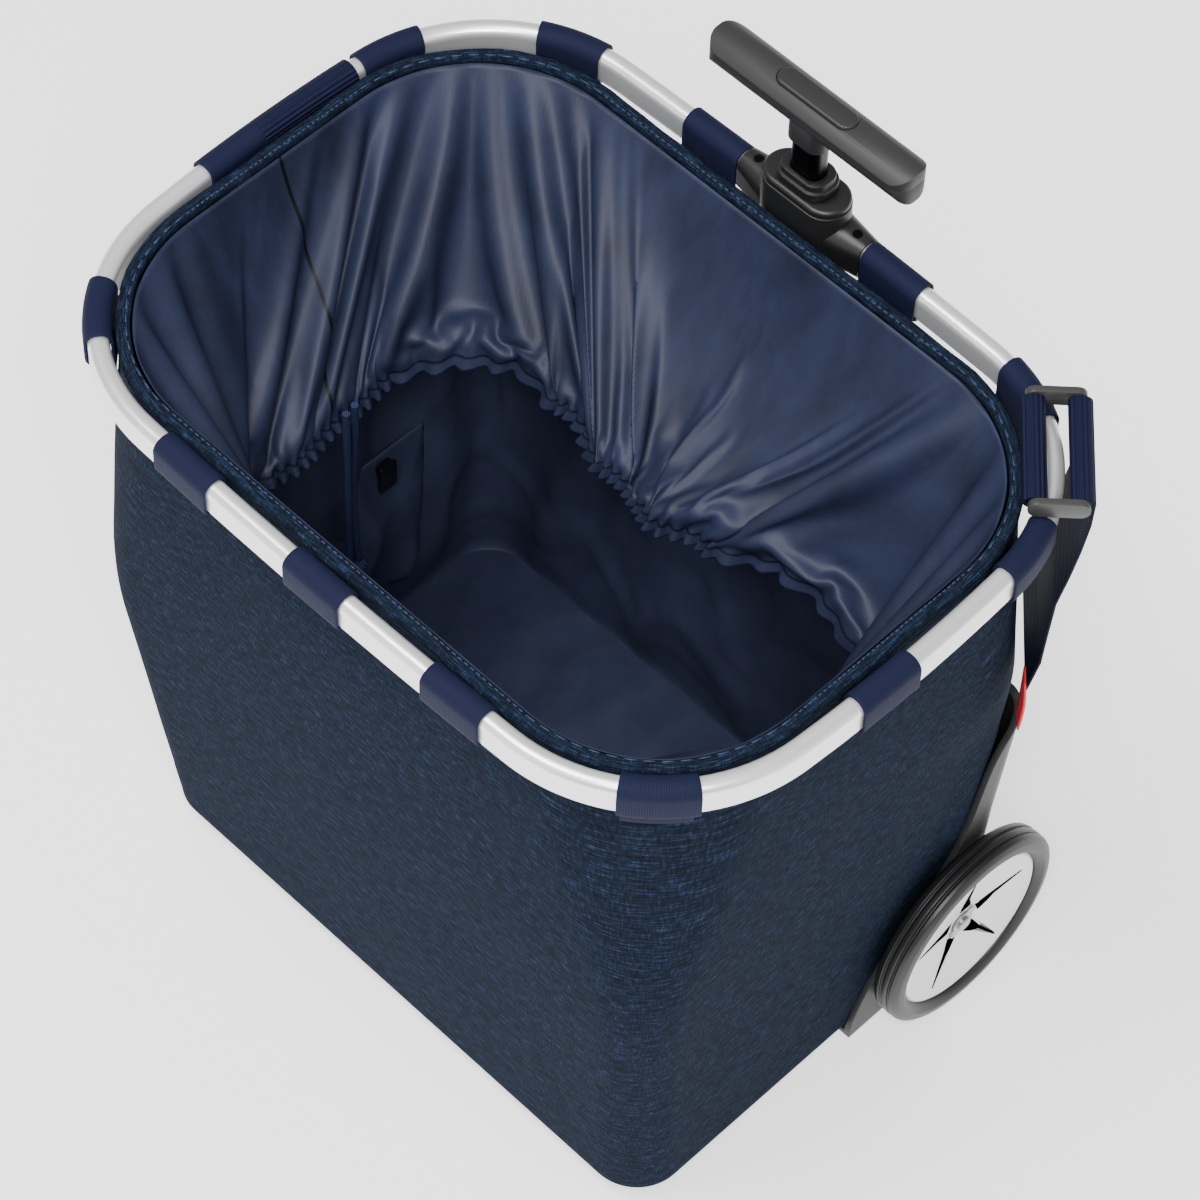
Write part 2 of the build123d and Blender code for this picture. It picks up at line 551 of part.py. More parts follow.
ZIP_PULL_Y = 31.0
zip_face = POCKET_X + POCKET_THICK + 2 * GAP
with BuildPart() as zip_slider:
    with BuildSketch(Plane(origin=(zip_face, 0, 0), x_dir=(0, 1, 0), z_dir=(1, 0, 0))):
        with Locations((ZIP_PULL_Y, ZIP_Z)):
            RectangleRounded(9.0, 8.0, 2.0)
    extrude(amount=2.6)
    with BuildSketch(Plane(origin=(zip_face + 2.6, 0, 0), x_dir=(0, 1, 0), z_dir=(1, 0, 0))):
        with Locations((ZIP_PULL_Y, ZIP_Z - 5.5)):
            RectangleRounded(11.0, 19.0, 1.5)
    extrude(amount=1.6)

# drawcord: the two ends of one cord leave the collar's channel and hang free
CORD_R = 2.0
CORD_ROUTES = {
    "drawcord_front": (
        (-118.0, -33.0, 290.0),
        (-117.6, -33.4, 270.0),
        (-119.0, -32.6, 246.0),
        (-118.0, -34.2, 216.0),
        (-119.2, -33.0, 184.0),
        (-118.6, -34.0, 160.0),
    ),
    "drawcord_back": (
        (-119.0, -26.6, 290.0),
        (-119.4, -26.0, 270.0),
        (-122.4, -25.0, 246.0),
        (-124.2, -25.6, 214.0),
        (-121.6, -26.6, 182.0),
        (-121.0, -26.0, 164.0),
    ),
}
KNOT_R, KNOT_HEIGHT = 4.6, 9.0


def cord_radii(route):
    """The arc at each point, as large as its two runs allow."""
    points = [Vector(*p) for p in route]
    radii = []
    for before, here, after in zip(points, points[1:], points[2:]):
        turn = (here - before).get_angle(after - here)
        shorter = min((here - before).length, (after - here).length)
        radii.append(0.45 * shorter / (sin(radians(turn / 2)) / cos(radians(turn / 2))))
    return radii


for cord_name, route in CORD_ROUTES.items():
    radii = cord_radii(route)
    with BuildPart() as cord:
        with BuildLine():
            path = FilletPolyline(*route, radius=radii)
        with BuildSketch(Plane(origin=path @ 0, z_dir=path % 0)):
            Circle(CORD_R)
        sweep(path=path)
    length = path.length
    print(cord_name, "length", round(length, 1), "smallest radius", round(min(radii), 1))
    print("  volume over section times length", round(cord.part.volume / (3.14159 * CORD_R**2 * length), 4))
    write(cord.part, cord_name)

with BuildPart() as drawcord_knots:
    for route in CORD_ROUTES.values():
        end = route[-1]
        with BuildSketch(Plane(origin=(end[0], end[1], end[2] - KNOT_HEIGHT), z_dir=(0, -1, 0), x_dir=(1, 0, 0))):
            with BuildLine():
                Line((0, 0), (CORD_R, 0))
                ThreePointArc((CORD_R, 0), (KNOT_R, KNOT_HEIGHT / 2), (CORD_R, KNOT_HEIGHT))
                Line((CORD_R, KNOT_HEIGHT), (0, KNOT_HEIGHT))
                Line((0, KNOT_HEIGHT), (0, 0))
            make_face()
        revolve(axis=Axis((end[0], end[1], 0), (0, 0, 1)))

# =============================================================================
# Carrying straps: a sewn one on the left and an adjustable one on the right
# =============================================================================
STRAP_SEWN_Z, STRAP_KINK_Z = 296.0, 320.0
strap_front = RIM_Y + 0.3
with BuildPart() as left_strap:
    add(sleeve.part)
    with BuildSketch(Plane.XY.offset(RIM_Z)):
        with Locations((-RIM_HALF_X, strap_front + STRAP_WIDTH / 2)):
            Rectangle(REACH, STRAP_WIDTH)
    extrude(amount=REACH / 2, both=True, mode=Mode.INTERSECT)
    with BuildSketch(Plane(origin=(0, strap_front, 0), x_dir=(-1, 0, 0), z_dir=(0, 1, 0))):
        with BuildLine():
            top_x = RIM_HALF_X + 0.5
            kink_x, sewn_x = TUB_HALF_X[CHEST_Z] + 2.4, TUB_HALF_X[CHEST_Z] + 0.8
            Polyline(
                (top_x, RIM_Z - 6.0),
                (kink_x + WEB, STRAP_KINK_Z),
                (sewn_x + WEB, STRAP_SEWN_Z),
                (sewn_x, STRAP_SEWN_Z),
                (kink_x, STRAP_KINK_Z),
                (top_x - WEB, RIM_Z - 10.0),
                (top_x, RIM_Z - 6.0),
            )
        make_face()
    extrude(amount=STRAP_WIDTH)
    add(bore_envelope.part, mode=Mode.SUBTRACT)

STRAP_ANGLE = 43.0
strap_out = Vector(cos(radians(STRAP_ANGLE)), sin(radians(STRAP_ANGLE)), 0)
strap_run = Vector(sin(radians(STRAP_ANGLE)), -cos(radians(STRAP_ANGLE)), 0)
strap_section = Plane(origin=(CORNER_X, CORNER_Y + RIM_Y, 0), x_dir=strap_out, z_dir=strap_run)
BAR_R = 2.6
BAR_IN, BAR_OUT, BAR_Z = 81.0, 102.0, 405.5
PLATE, PLATE_HALF_X, PLATE_HALF_Z = 3.6, 13.8, 4.6
with BuildPart() as slider_buckle:
    with BuildSketch(strap_section):
        with Locations((BAR_IN, BAR_Z), (BAR_OUT, BAR_Z)):
            Circle(BAR_R)
    extrude(amount=STRAP_WIDTH / 2 + 0.5, both=True)
    for way in (1, -1):
        with BuildSketch(strap_section.offset(way * (STRAP_WIDTH / 2 + 0.5))):
            with Locations(((BAR_IN + BAR_OUT) / 2, BAR_Z)):
                SlotOverall(2 * PLATE_HALF_X, 2 * PLATE_HALF_Z)
        extrude(amount=way * PLATE)

with BuildPart() as slider_strap:
    WRAP = BAR_R + WEB
    sewn_r, sewn_z = 89.0, 262.0
    with BuildSketch(strap_section):
        with Locations((BAR_IN, BAR_Z), (BAR_OUT, BAR_Z)):
            Circle(WRAP)
        with BuildLine():
            outer = BAR_OUT + WRAP
            Polyline(
                (outer, BAR_Z),
                (outer - WEB, BAR_Z),
                (outer - WEB - 1.5, RIM_Z - 30.0),
                (sewn_r + 5.0, RIM_Z - 60.0),
                (sewn_r, sewn_z),
                (sewn_r + WEB, sewn_z),
                (sewn_r + 5.0 + WEB, RIM_Z - 60.0),
                (outer - 1.5, RIM_Z - 30.0),
                (outer, BAR_Z),
            )
        make_face()
    extrude(amount=STRAP_WIDTH / 2, both=True)
    with BuildSketch(strap_section):
        with Locations((BAR_IN, BAR_Z), (BAR_OUT, BAR_Z)):
            Circle(BAR_R)
    extrude(amount=STRAP_WIDTH / 2, both=True, mode=Mode.SUBTRACT)

TAG_WIDTH, TAG_LOW, TAG_HIGH = 12.0, 248.0, 284.0
with BuildPart() as side_tag:
    with BuildSketch(strap_section.offset(STRAP_WIDTH / 2 + 1.0)):
        with Locations((sewn_r - 1.0, (TAG_LOW + TAG_HIGH) / 2)):
            Rectangle(WEB, TAG_HIGH - TAG_LOW)
    extrude(amount=TAG_WIDTH)

# =============================================================================
# Carriage: one moulding round the tub's lower back, carrying pole foot and axles
# =============================================================================
def carriage_form(inset):
    """Outside of the carriage's shell, or its inside when moved inwards by inset."""
    with BuildPart() as form:
        for height in (FLOOR_Z, WAIST_Z, SHOULDER_Z):
            half_x = TUB_HALF_X[height] + GAP + SHELL - inset
            rear = TUB_BACK[height] + GAP + SHELL - inset
            with BuildSketch(Plane.XY.offset(height)):
                with Locations((0, (rear + TUB_FRONT[height]) / 2)):
                    RectangleRounded(2 * half_x, rear - TUB_FRONT[height], CARRIAGE_R - inset)
        loft(ruled=True)
    return form.part


SHELF = 3.4
with BuildPart() as carriage:
    add(carriage_form(0))
    with BuildSketch(Plane.XY.offset(FLOOR_Z)):
        with Locations((0, (TUB_BACK[FLOOR_Z] + GAP + SHELL + TUB_FRONT[FLOOR_Z]) / 2)):
            shelf_depth = TUB_BACK[FLOOR_Z] + GAP + SHELL - TUB_FRONT[FLOOR_Z]
            RectangleRounded(2 * (TUB_HALF_X[FLOOR_Z] + GAP + SHELL), shelf_depth, CARRIAGE_R)
    extrude(amount=-SHELF)
    for side in SIDES.values():
        face = side * (TUB_HALF_X[FLOOR_Z] + GAP)
        with BuildSketch(Plane(origin=(face, WHEEL_Y, WHEEL_Z), x_dir=(0, 1, 0), z_dir=(side, 0, 0))):
            Circle(14.0)
        extrude(amount=TYRE_IN - 1.2 - TUB_HALF_X[FLOOR_Z] - GAP)
    add(carriage_form(SHELL), mode=Mode.SUBTRACT)
    with BuildSketch(Plane(origin=(-TUB_HALF_X[TOP_Z], 0, 0), x_dir=(0, 1, 0), z_dir=(1, 0, 0))):
        with BuildLine():
            Spline((25, 9), (51, 64), (88, 111), (98, 161), (104, 188), (119, 209))
            Polyline((119, 209), (128, 213), (170, 213), (170, 0), (25, 0), (25, 9))
        make_face()
    extrude(amount=2 * TUB_HALF_X[TOP_Z], mode=Mode.INTERSECT)
    with BuildSketch(Plane(origin=(-TYRE_OUT, WHEEL_Y, WHEEL_Z), x_dir=(0, 1, 0), z_dir=(1, 0, 0))):
        Circle(AXLE_R)
    extrude(amount=2 * TYRE_OUT, mode=Mode.SUBTRACT)
    for side in SIDES.values():
        with BuildSketch(Plane(origin=(side * 175.5, WHEEL_Y, WHEEL_Z), x_dir=(0, 1, 0), z_dir=(side, 0, 0))):
            Circle(9.0)
        extrude(amount=-8.0, mode=Mode.SUBTRACT)

carriage_back = TUB_BACK[SHOULDER_Z] + GAP + SHELL
FOOT_HALF_X, FOOT_LOW, FOOT_HIGH = 21.0, 12.0, 78.0
with BuildPart() as pole_foot:
    with BuildSketch(Plane.XY.offset(FOOT_LOW)):
        with Locations((0, (WHEEL_Y + FOOT_BACK) / 2)):
            RectangleRounded(2 * FOOT_HALF_X, FOOT_BACK - WHEEL_Y, 6.0)
    extrude(amount=FOOT_HIGH - FOOT_LOW)
    add(carriage_form(0), mode=Mode.SUBTRACT)
    add(pole_bar(OUTER_X, OUTER_Y, OUTER_R, OUTER_BOTTOM, FOOT_HIGH), mode=Mode.SUBTRACT)
    pole_foot_piece = pole_foot.solids().sort_by(Axis.Y)[-1]
with BuildPart() as pole_foot_block:
    add(pole_foot_piece)
    for side in SIDES.values():
        for height in (26.0, 64.0):
            add(pin_bar(1.5, height, 100.0, 132.0, side * 17.0), mode=Mode.SUBTRACT)

with BuildPart() as carriage_screws:
    for side in SIDES.values():
        for height in (26.0, 64.0):
            add(pin_bar(1.5, height, 115.6, 132.0, side * 17.0))
with BuildPart() as drilled_carriage:
    add(carriage.part)
    add(carriage_screws.part, mode=Mode.SUBTRACT)

FOOT_X, FOOT_Y, FOOT_R = 118.0, -82.0, 13.0
with BuildPart() as front_feet:
    for side in SIDES.values():
        with BuildSketch():
            with Locations((side * FOOT_X, FOOT_Y)):
                RectangleRounded(4 * FOOT_R, 2 * FOOT_R, FOOT_R - 2)
        extrude(amount=FLOOR_Z)

# =============================================================================
# Wheels: soft tyre on a dished white disc, turning on a bush on a stub axle
# =============================================================================
def spun(side, outline):
    """A solid of revolution about the axle, from an outline of radius and distance."""
    with BuildPart() as body:
        with BuildSketch(Plane(origin=(0, WHEEL_Y, WHEEL_Z), x_dir=(0, 0, 1), z_dir=(0, 1, 0))):
            with BuildLine():
                Polyline(*[(radius, side * reach) for radius, reach in outline], close=True)
            make_face()
        revolve(axis=Axis((0, WHEEL_Y, WHEEL_Z), (1, 0, 0)))
    return body.part


DISH_R, DISC_WALL = 12.0, 3.0
SPOKE_GAPS, GAP_IN, GAP_OUT = 5, 13.0, 38.0
TREAD = 1.4
tread_middle = (TYRE_IN + TYRE_OUT) / 2
TYRE_OUTLINE = (
    (DISC_R, TYRE_IN + 1.0),
    (DISC_R + 2.0, TYRE_IN),
    (TYRE_R - 3.0, TYRE_IN),
    (TYRE_R - 0.8, TYRE_IN + 1.6),
    (TYRE_R, tread_middle - 3.4),
    (TYRE_R - TREAD, tread_middle - 3.0),
    (TYRE_R - TREAD, tread_middle - 2.0),
    (TYRE_R, tread_middle - 1.6),
    (TYRE_R, tread_middle + 1.6),
    (TYRE_R - TREAD, tread_middle + 2.0),
    (TYRE_R - TREAD, tread_middle + 3.0),
    (TYRE_R, tread_middle + 3.4),
    (TYRE_R - 0.8, TYRE_OUT - 2.4),
    (TYRE_R - 3.4, TYRE_OUT - 0.6),
    (TYRE_R - 7.0, TYRE_OUT),
    (DISC_R + 1.5, TYRE_OUT - 1.6),
    (DISC_R, TYRE_OUT - 3.2),
)
DISC_OUTLINE = (
    (BUSH_R, TYRE_IN + 0.2),
    (BUSH_R + 4.0, TYRE_IN + 0.2),
    (BUSH_R + 4.0, HUB_FACE - DISC_WALL + 0.6),
    (DISC_R - 5.0, TYRE_OUT - 3.6 - DISC_WALL),
    (DISC_R - 3.0, TYRE_IN + 1.4),
    (DISC_R, TYRE_IN + 1.4),
    (DISC_R, TYRE_OUT - 4.2),
    (DISC_R - 1.4, TYRE_OUT - 3.4),
    (DISC_R - 4.0, TYRE_OUT - 3.7),
    (DISH_R, HUB_FACE + 0.6),
    (DISH_R - 1.5, HUB_FACE),
    (BUSH_R, HUB_FACE),
)
wheel_discs, tyres, bushes = {}, {}, {}
for side_name, side in SIDES.items():
    tyres[side_name] = spun(side, TYRE_OUTLINE)
    axle_hole = AXLE_R + RUNNING_FIT
    bush_low, bush_high = TYRE_IN, HUB_FACE
    bushes[side_name] = spun(
        side, ((axle_hole, bush_low), (BUSH_R, bush_low), (BUSH_R, bush_high), (axle_hole, bush_high))
    )
    with BuildPart() as disc:
        add(spun(side, DISC_OUTLINE))
        for gap in range(SPOKE_GAPS):
            turn = radians(90 + gap * 360 / SPOKE_GAPS)
            spoke = (0, cos(turn), sin(turn))
            with BuildSketch(Plane(origin=(0, WHEEL_Y, WHEEL_Z), x_dir=spoke, z_dir=(1, 0, 0))):
                with BuildLine():
                    Polyline(
                        (GAP_IN, -3.2),
                        (GAP_IN + 9.0, -2.4),
                        (GAP_OUT, -0.6),
                        (GAP_OUT, 0.6),
                        (GAP_IN + 9.0, 2.4),
                        (GAP_IN, 3.2),
                        close=True,
                    )
                make_face()
            extrude(amount=side * TYRE_OUT, mode=Mode.SUBTRACT)
    wheel_discs[side_name] = disc.part
    write(tyres[side_name], f"tyre_{side_name}")
    write(wheel_discs[side_name], f"wheel_disc_{side_name}")
    write(bushes[side_name], f"wheel_bush_{side_name}")

AXLE_HEAD_R, AXLE_HEAD = 8.8, (174.4, 175.5)
AXLE_END = 190.6
CLIP = (HUB_FACE + GAP, HUB_FACE + GAP + 1.0)
WASHER = (TYRE_IN - 1.2, TYRE_IN - 0.4)
with BuildPart() as stub_axles:
    for side in SIDES.values():
        outline = (
            (0, AXLE_HEAD[0]),
            (AXLE_HEAD_R, AXLE_HEAD[0]),
            (AXLE_HEAD_R, AXLE_HEAD[1]),
            (AXLE_R, AXLE_HEAD[1]),
            (AXLE_R, AXLE_END - 0.6),
            (AXLE_R - 0.6, AXLE_END),
            (0, AXLE_END),
        )
        add(spun(side, outline))
with BuildPart() as axle_washers:
    for side in SIDES.values():
        add(spun(side, ((AXLE_R, WASHER[0]), (9.0, WASHER[0]), (9.0, WASHER[1]), (AXLE_R, WASHER[1]))))
with BuildPart() as axle_clips:
    for side in SIDES.values():
        low = side * CLIP[0]
        with BuildSketch(Plane(origin=(low, WHEEL_Y, WHEEL_Z), x_dir=(0, 1, 0), z_dir=(1, 0, 0))):
            Circle(6.6)
            SlotOverall(20.0, 6.0, rotation=40)
            Circle(AXLE_R, mode=Mode.SUBTRACT)
        extrude(amount=side * (CLIP[1] - CLIP[0]))

PIECES = {
    "rim_tube": drilled_rim_tube,
    "hub_body": hub_body,
    "hub_bezel": hub_bezel,
    "hub_collars": hub_collars,
    "hub_screws": hub_screws,
    "pole_outer_tube": pole_outer_tube,
    "pole_middle_tube": pole_middle_tube,
    "pole_inner_tube": pole_inner_tube,
    "outer_guide": outer_guide,
    "middle_guide": middle_guide,
    "middle_slider": middle_slider,
    "inner_slider": inner_slider,
    "middle_lock_pin": middle_lock_pin,
    "inner_lock_pin": inner_lock_pin,
    "release_rod": release_rod,
    "grip_upper": grip_upper,
    "grip_lower": grip_lower,
    "release_button": release_button,
    "button_spring": button_spring,
    "grip_screws": grip_screws,
    "bag_body": bag_body,
    "bag_liner": bag_liner,
    "base_board": base_board,
    "rim_hem": rim_hem,
    "gathered_collar": gathered_collar,
    "inner_pocket": inner_pocket,
    "zip_slider": zip_slider,
    "drawcord_knots": drawcord_knots,
    "left_strap": left_strap,
    "slider_buckle": slider_buckle,
    "slider_strap": slider_strap,
    "side_tag": side_tag,
    "carriage": drilled_carriage,
    "pole_foot": pole_foot_block,
    "carriage_screws": carriage_screws,
    "front_feet": front_feet,
    "stub_axles": stub_axles,
    "axle_washers": axle_washers,
    "axle_clips": axle_clips,
}
for piece_name, piece in PIECES.items():
    write(piece.part, piece_name)
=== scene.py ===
import json
import math

import bmesh
import bpy
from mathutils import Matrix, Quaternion, Vector, noise


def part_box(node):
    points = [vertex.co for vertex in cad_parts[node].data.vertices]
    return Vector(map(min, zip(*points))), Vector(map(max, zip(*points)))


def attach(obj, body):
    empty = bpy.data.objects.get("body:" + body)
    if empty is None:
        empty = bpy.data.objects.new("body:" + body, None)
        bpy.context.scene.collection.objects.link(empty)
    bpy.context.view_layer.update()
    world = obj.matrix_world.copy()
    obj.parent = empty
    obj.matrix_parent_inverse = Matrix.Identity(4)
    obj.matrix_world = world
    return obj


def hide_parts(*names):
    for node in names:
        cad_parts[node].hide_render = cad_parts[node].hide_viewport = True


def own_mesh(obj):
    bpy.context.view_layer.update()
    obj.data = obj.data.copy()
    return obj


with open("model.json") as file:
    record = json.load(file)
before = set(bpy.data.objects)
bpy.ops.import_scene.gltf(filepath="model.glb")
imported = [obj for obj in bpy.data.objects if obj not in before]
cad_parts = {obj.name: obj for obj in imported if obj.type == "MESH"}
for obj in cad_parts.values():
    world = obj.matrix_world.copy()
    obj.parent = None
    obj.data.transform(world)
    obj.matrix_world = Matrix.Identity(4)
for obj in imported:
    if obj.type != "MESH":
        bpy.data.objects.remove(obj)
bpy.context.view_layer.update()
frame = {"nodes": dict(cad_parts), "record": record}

# ----------------------------------------
# Studio: a pale seamless floor under large soft lights, and a long lens that
# looks down into the tub from its front right corner.
AZIMUTH, ELEVATION, ROLL = math.radians(43.49), math.radians(54.66), math.radians(1.99)
CAMERA_DISTANCE, LENS = 2.567, 141.8
LOOK_AT = Vector((-0.1263, 0.1524, -0.0509))

forward = Vector((
    -math.sin(AZIMUTH) * math.cos(ELEVATION),
    math.cos(AZIMUTH) * math.cos(ELEVATION),
    -math.sin(ELEVATION),
))
camera = bpy.data.objects.new("studio_camera", bpy.data.cameras.new("studio_camera"))
bpy.context.collection.objects.link(camera)
camera.data.lens = LENS
camera.data.clip_end = 20
camera.location = LOOK_AT - forward * CAMERA_DISTANCE
camera.rotation_mode = "QUATERNION"
camera.rotation_quaternion = forward.to_track_quat("-Z", "Y") @ Quaternion((0, 0, 1), ROLL)
bpy.context.scene.camera = camera


def linear(code):
    """An sRGB hex colour as linear RGBA."""
    parts = [int(code[i:i + 2], 16) / 255 for i in (1, 3, 5)]
    return [c / 12.92 if c <= 0.04045 else ((c + 0.055) / 1.055) ** 2.4 for c in parts] + [1.0]


def new_material(name, colour, roughness, metallic=0.0, **sockets):
    """A material with its Principled shader's plain values set on the sockets themselves."""
    material = bpy.data.materials.new(name)
    material.use_nodes = True
    shader = material.node_tree.nodes["Principled BSDF"]
    shader.inputs["Base Color"].default_value = linear(colour)
    shader.inputs["Roughness"].default_value = roughness
    shader.inputs["Metallic"].default_value = metallic
    for socket, value in sockets.items():
        shader.inputs[socket.replace("_", " ")].default_value = value
    return material


# lit paper: the floor gives off a little light, so that it stays pale beside the dark bag
floor_paper = new_material("studio_paper", "#F4F4F4", 0.9, Emission_Color=(1, 1, 1, 1), Emission_Strength=1.0)
bpy.ops.mesh.primitive_plane_add(size=14, location=(0, 0, -0.0004))
floor = bpy.context.object
floor.name = "studio_floor"
floor.data.materials.append(floor_paper)

world = bpy.data.worlds.new("studio_air")
bpy.context.scene.world = world
world.use_nodes = True
air = world.node_tree.nodes["Background"]
air.inputs["Color"].default_value = (1, 1, 1, 1)
air.inputs["Strength"].default_value = 0.50


def softbox(name, place, aim, size, power):
    """A square area light aimed at a point."""
    lamp = bpy.data.objects.new(name, bpy.data.lights.new(name, "AREA"))
    bpy.context.collection.objects.link(lamp)
    lamp.data.size = size
    lamp.data.energy = power
    lamp.location = place
    lamp.rotation_euler = (Vector(aim) - Vector(place)).to_track_quat("-Z", "Y").to_euler()


softbox("overhead_key", (-0.4, -0.7, 2.6), (0, 0, 0.2), 1.2, 62)
softbox("camera_side_fill", (1.15, -1.15, 2.5), (0, 0, 0.2), 0.9, 70)
softbox("front_fill", (-0.6, -2.5, 1.2), (0, 0, 0.2), 1.8, 10)
softbox("right_fill", (2.6, 0.4, 1.2), (0, 0, 0.2), 1.6, 6)

# ----------------------------------------
# Drawcord: the two ends of one flat woven polyester cord. They leave the channel
# of the gathered collar side by side, hang free inside the tub and end in a knot.
CORD_WIDTH = 0.004
CORD_ROUTES = {
    "drawcord_front": (
        (-0.1180, -0.0330, 0.290), (-0.1176, -0.0334, 0.270), (-0.1190, -0.0326, 0.246),
        (-0.1180, -0.0342, 0.216), (-0.1192, -0.0330, 0.184), (-0.1186, -0.0340, 0.160),
    ),
    "drawcord_back": (
        (-0.1190, -0.0266, 0.290), (-0.1194, -0.0260, 0.270), (-0.1224, -0.0250, 0.246),
        (-0.1242, -0.0256, 0.214), (-0.1216, -0.0266, 0.182), (-0.1210, -0.0260, 0.164),
    ),
}
bodies_of = {node: body for body, nodes in frame["record"]["behaviour"]["bodies"].items() for node in nodes}


def add_node(material, kind, inputs=None, stops=(), **settings):
    """Adds a node. Inputs are values, outputs or nodes (their first output); stops are (place, colour)."""
    made = material.node_tree.nodes.new(kind)
    for name, value in settings.items():
        setattr(made, name, value)
    for name, value in (inputs or {}).items():
        value = value.outputs[0] if isinstance(value, bpy.types.Node) else value
        if isinstance(value, bpy.types.NodeSocket):
            material.node_tree.links.new(value, made.inputs[name])
        else:
            made.inputs[name].default_value = value
    while stops and len(made.color_ramp.elements) < len(stops):
        made.color_ramp.elements.new(0.5)
    for number, (place, colour) in enumerate(stops):
        made.color_ramp.elements[number].position = place
        made.color_ramp.elements[number].color = linear(colour)
    return made


def feed(material, socket, node, output=0):
    """Links a node to the material's shader."""
    shader = material.node_tree.nodes["Principled BSDF"]
    material.node_tree.links.new(node.outputs[output], shader.inputs[socket])


def finish_piece(piece, nodes, material):
    """Gives a piece its finish and lets it stand for, and move with, its CAD nodes."""
    piece.data.materials.clear()
    piece.data.materials.append(material)
    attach(piece, bodies_of[nodes[0]])
    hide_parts(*nodes)


def use(piece):
    """Makes one object the only selected and active one."""
    bpy.ops.object.select_all(action="DESELECT")
    piece.select_set(True)
    bpy.context.view_layer.objects.active = piece


def apply_modifier(piece, kind, **settings):
    """Adds a modifier, sets it and applies it."""
    use(piece)
    modifier = piece.modifiers.new(kind.lower(), kind)
    for name, value in settings.items():
        setattr(modifier, name, value)
    bpy.ops.object.modifier_apply(modifier=modifier.name)


def softened(name, width, segments=2, angle=25):
    """A copy of a CAD node with its hard edges rounded, as a moulded piece has."""
    source = frame["nodes"][name]
    mesh = source.data.copy()
    piece = bpy.data.objects.new("visible_" + name, mesh)
    bpy.context.collection.objects.link(piece)
    work = bmesh.new()
    work.from_mesh(mesh)
    bmesh.ops.remove_doubles(work, verts=work.verts, dist=2e-6)
    bmesh.ops.dissolve_limit(work, angle_limit=math.radians(0.6), verts=work.verts, edges=work.edges)
    work.to_mesh(mesh)
    work.free()
    apply_modifier(
        piece, "BEVEL", width=width, segments=segments, limit_method="ANGLE",
        angle_limit=math.radians(angle), use_clamp_overlap=True, harden_normals=False,
    )
    use(piece)
    bpy.ops.object.shade_smooth_by_angle(angle=math.radians(32))
    return piece


# woven polyester: matt, with the braid's small slanting ribs
cord_cloth = new_material("navy_woven_cord", "#1E2440", 0.75, Specular_IOR_Level=0.2)
cord_places = add_node(cord_cloth, "ShaderNodeTexCoord")
cord_braid = add_node(cord_cloth, "ShaderNodeTexWave", {
    "Vector": cord_places.outputs["Object"], "Scale": 420.0, "Distortion": 1.5, "Detail": 1.0,
}, bands_direction="DIAGONAL")
cord_shade = add_node(cord_cloth, "ShaderNodeValToRGB", {"Fac": cord_braid.outputs["Fac"]},
                      stops=[(0.2, "#151A30"), (0.8, "#2B3358")])
feed(cord_cloth, "Base Color", cord_shade)
cord_bump = add_node(cord_cloth, "ShaderNodeBump", {
    "Height": cord_braid.outputs["Fac"], "Strength": 0.5, "Distance": 0.0003,
})
feed(cord_cloth, "Normal", cord_bump)

knots = softened("drawcord_knots", 0.0006)
finish_piece(knots, ["drawcord_knots"], cord_cloth)
for cord_name, route in CORD_ROUTES.items():
    curve = bpy.data.curves.new(cord_name + "_woven", "CURVE")
    curve.dimensions = "3D"
    curve.bevel_depth = CORD_WIDTH / 2
    curve.bevel_resolution = 4
    curve.use_fill_caps = True
    spline = curve.splines.new("NURBS")
    spline.points.add(len(route) - 1)
    for point, place in zip(spline.points, route):
        point.co = (*place, 1)
    spline.order_u = 3
    spline.use_endpoint_u = True
    strand = bpy.data.objects.new(cord_name + "_woven", curve)
    bpy.context.collection.objects.link(strand)
    finish_piece(strand, [cord_name], cord_cloth)

# ----------------------------------------
# Rim: flat-oval aluminium tube, bent to a ring and satin anodised. Fine drawing
# lines run along it, so its highlights are soft and slightly streaked.
def paint(material, *nodes):
    """Gives CAD nodes that keep their own shape a better finish."""
    for name in nodes:
        for material_slot in frame["nodes"][name].material_slots:
            material_slot.material = material


anodised = new_material("satin_anodised_aluminium", "#F3F3F3", 0.36, 0.7)
metal_places = add_node(anodised, "ShaderNodeTexCoord")
metal_grain = add_node(anodised, "ShaderNodeTexNoise", {
    "Vector": metal_places.outputs["Object"], "Scale": 900.0, "Detail": 2.0,
})
metal_rough = add_node(anodised, "ShaderNodeMapRange", {
    "Value": metal_grain, "To Min": 0.27, "To Max": 0.36,
})
feed(anodised, "Roughness", metal_rough)
metal_bump = add_node(anodised, "ShaderNodeBump", {
    "Height": metal_grain, "Strength": 0.12, "Distance": 0.0001,
})
feed(anodised, "Normal", metal_bump)
paint(anodised, "rim_tube", "pole_outer_tube")

rim_low, rim_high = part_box("rim_tube")
RIM_HALF_Y, CORNER_X, CORNER_Y, CORNER_R = 0.1564, 0.112, 0.0585, 0.096
TUBE_HALF_DEPTH = 0.005
rim_half_x = rim_high.x
rim_centre_y = rim_low.y + RIM_HALF_Y
rim_z = (rim_low.z + rim_high.z) / 2
tube_half_height = (rim_high.z - rim_low.z) / 2


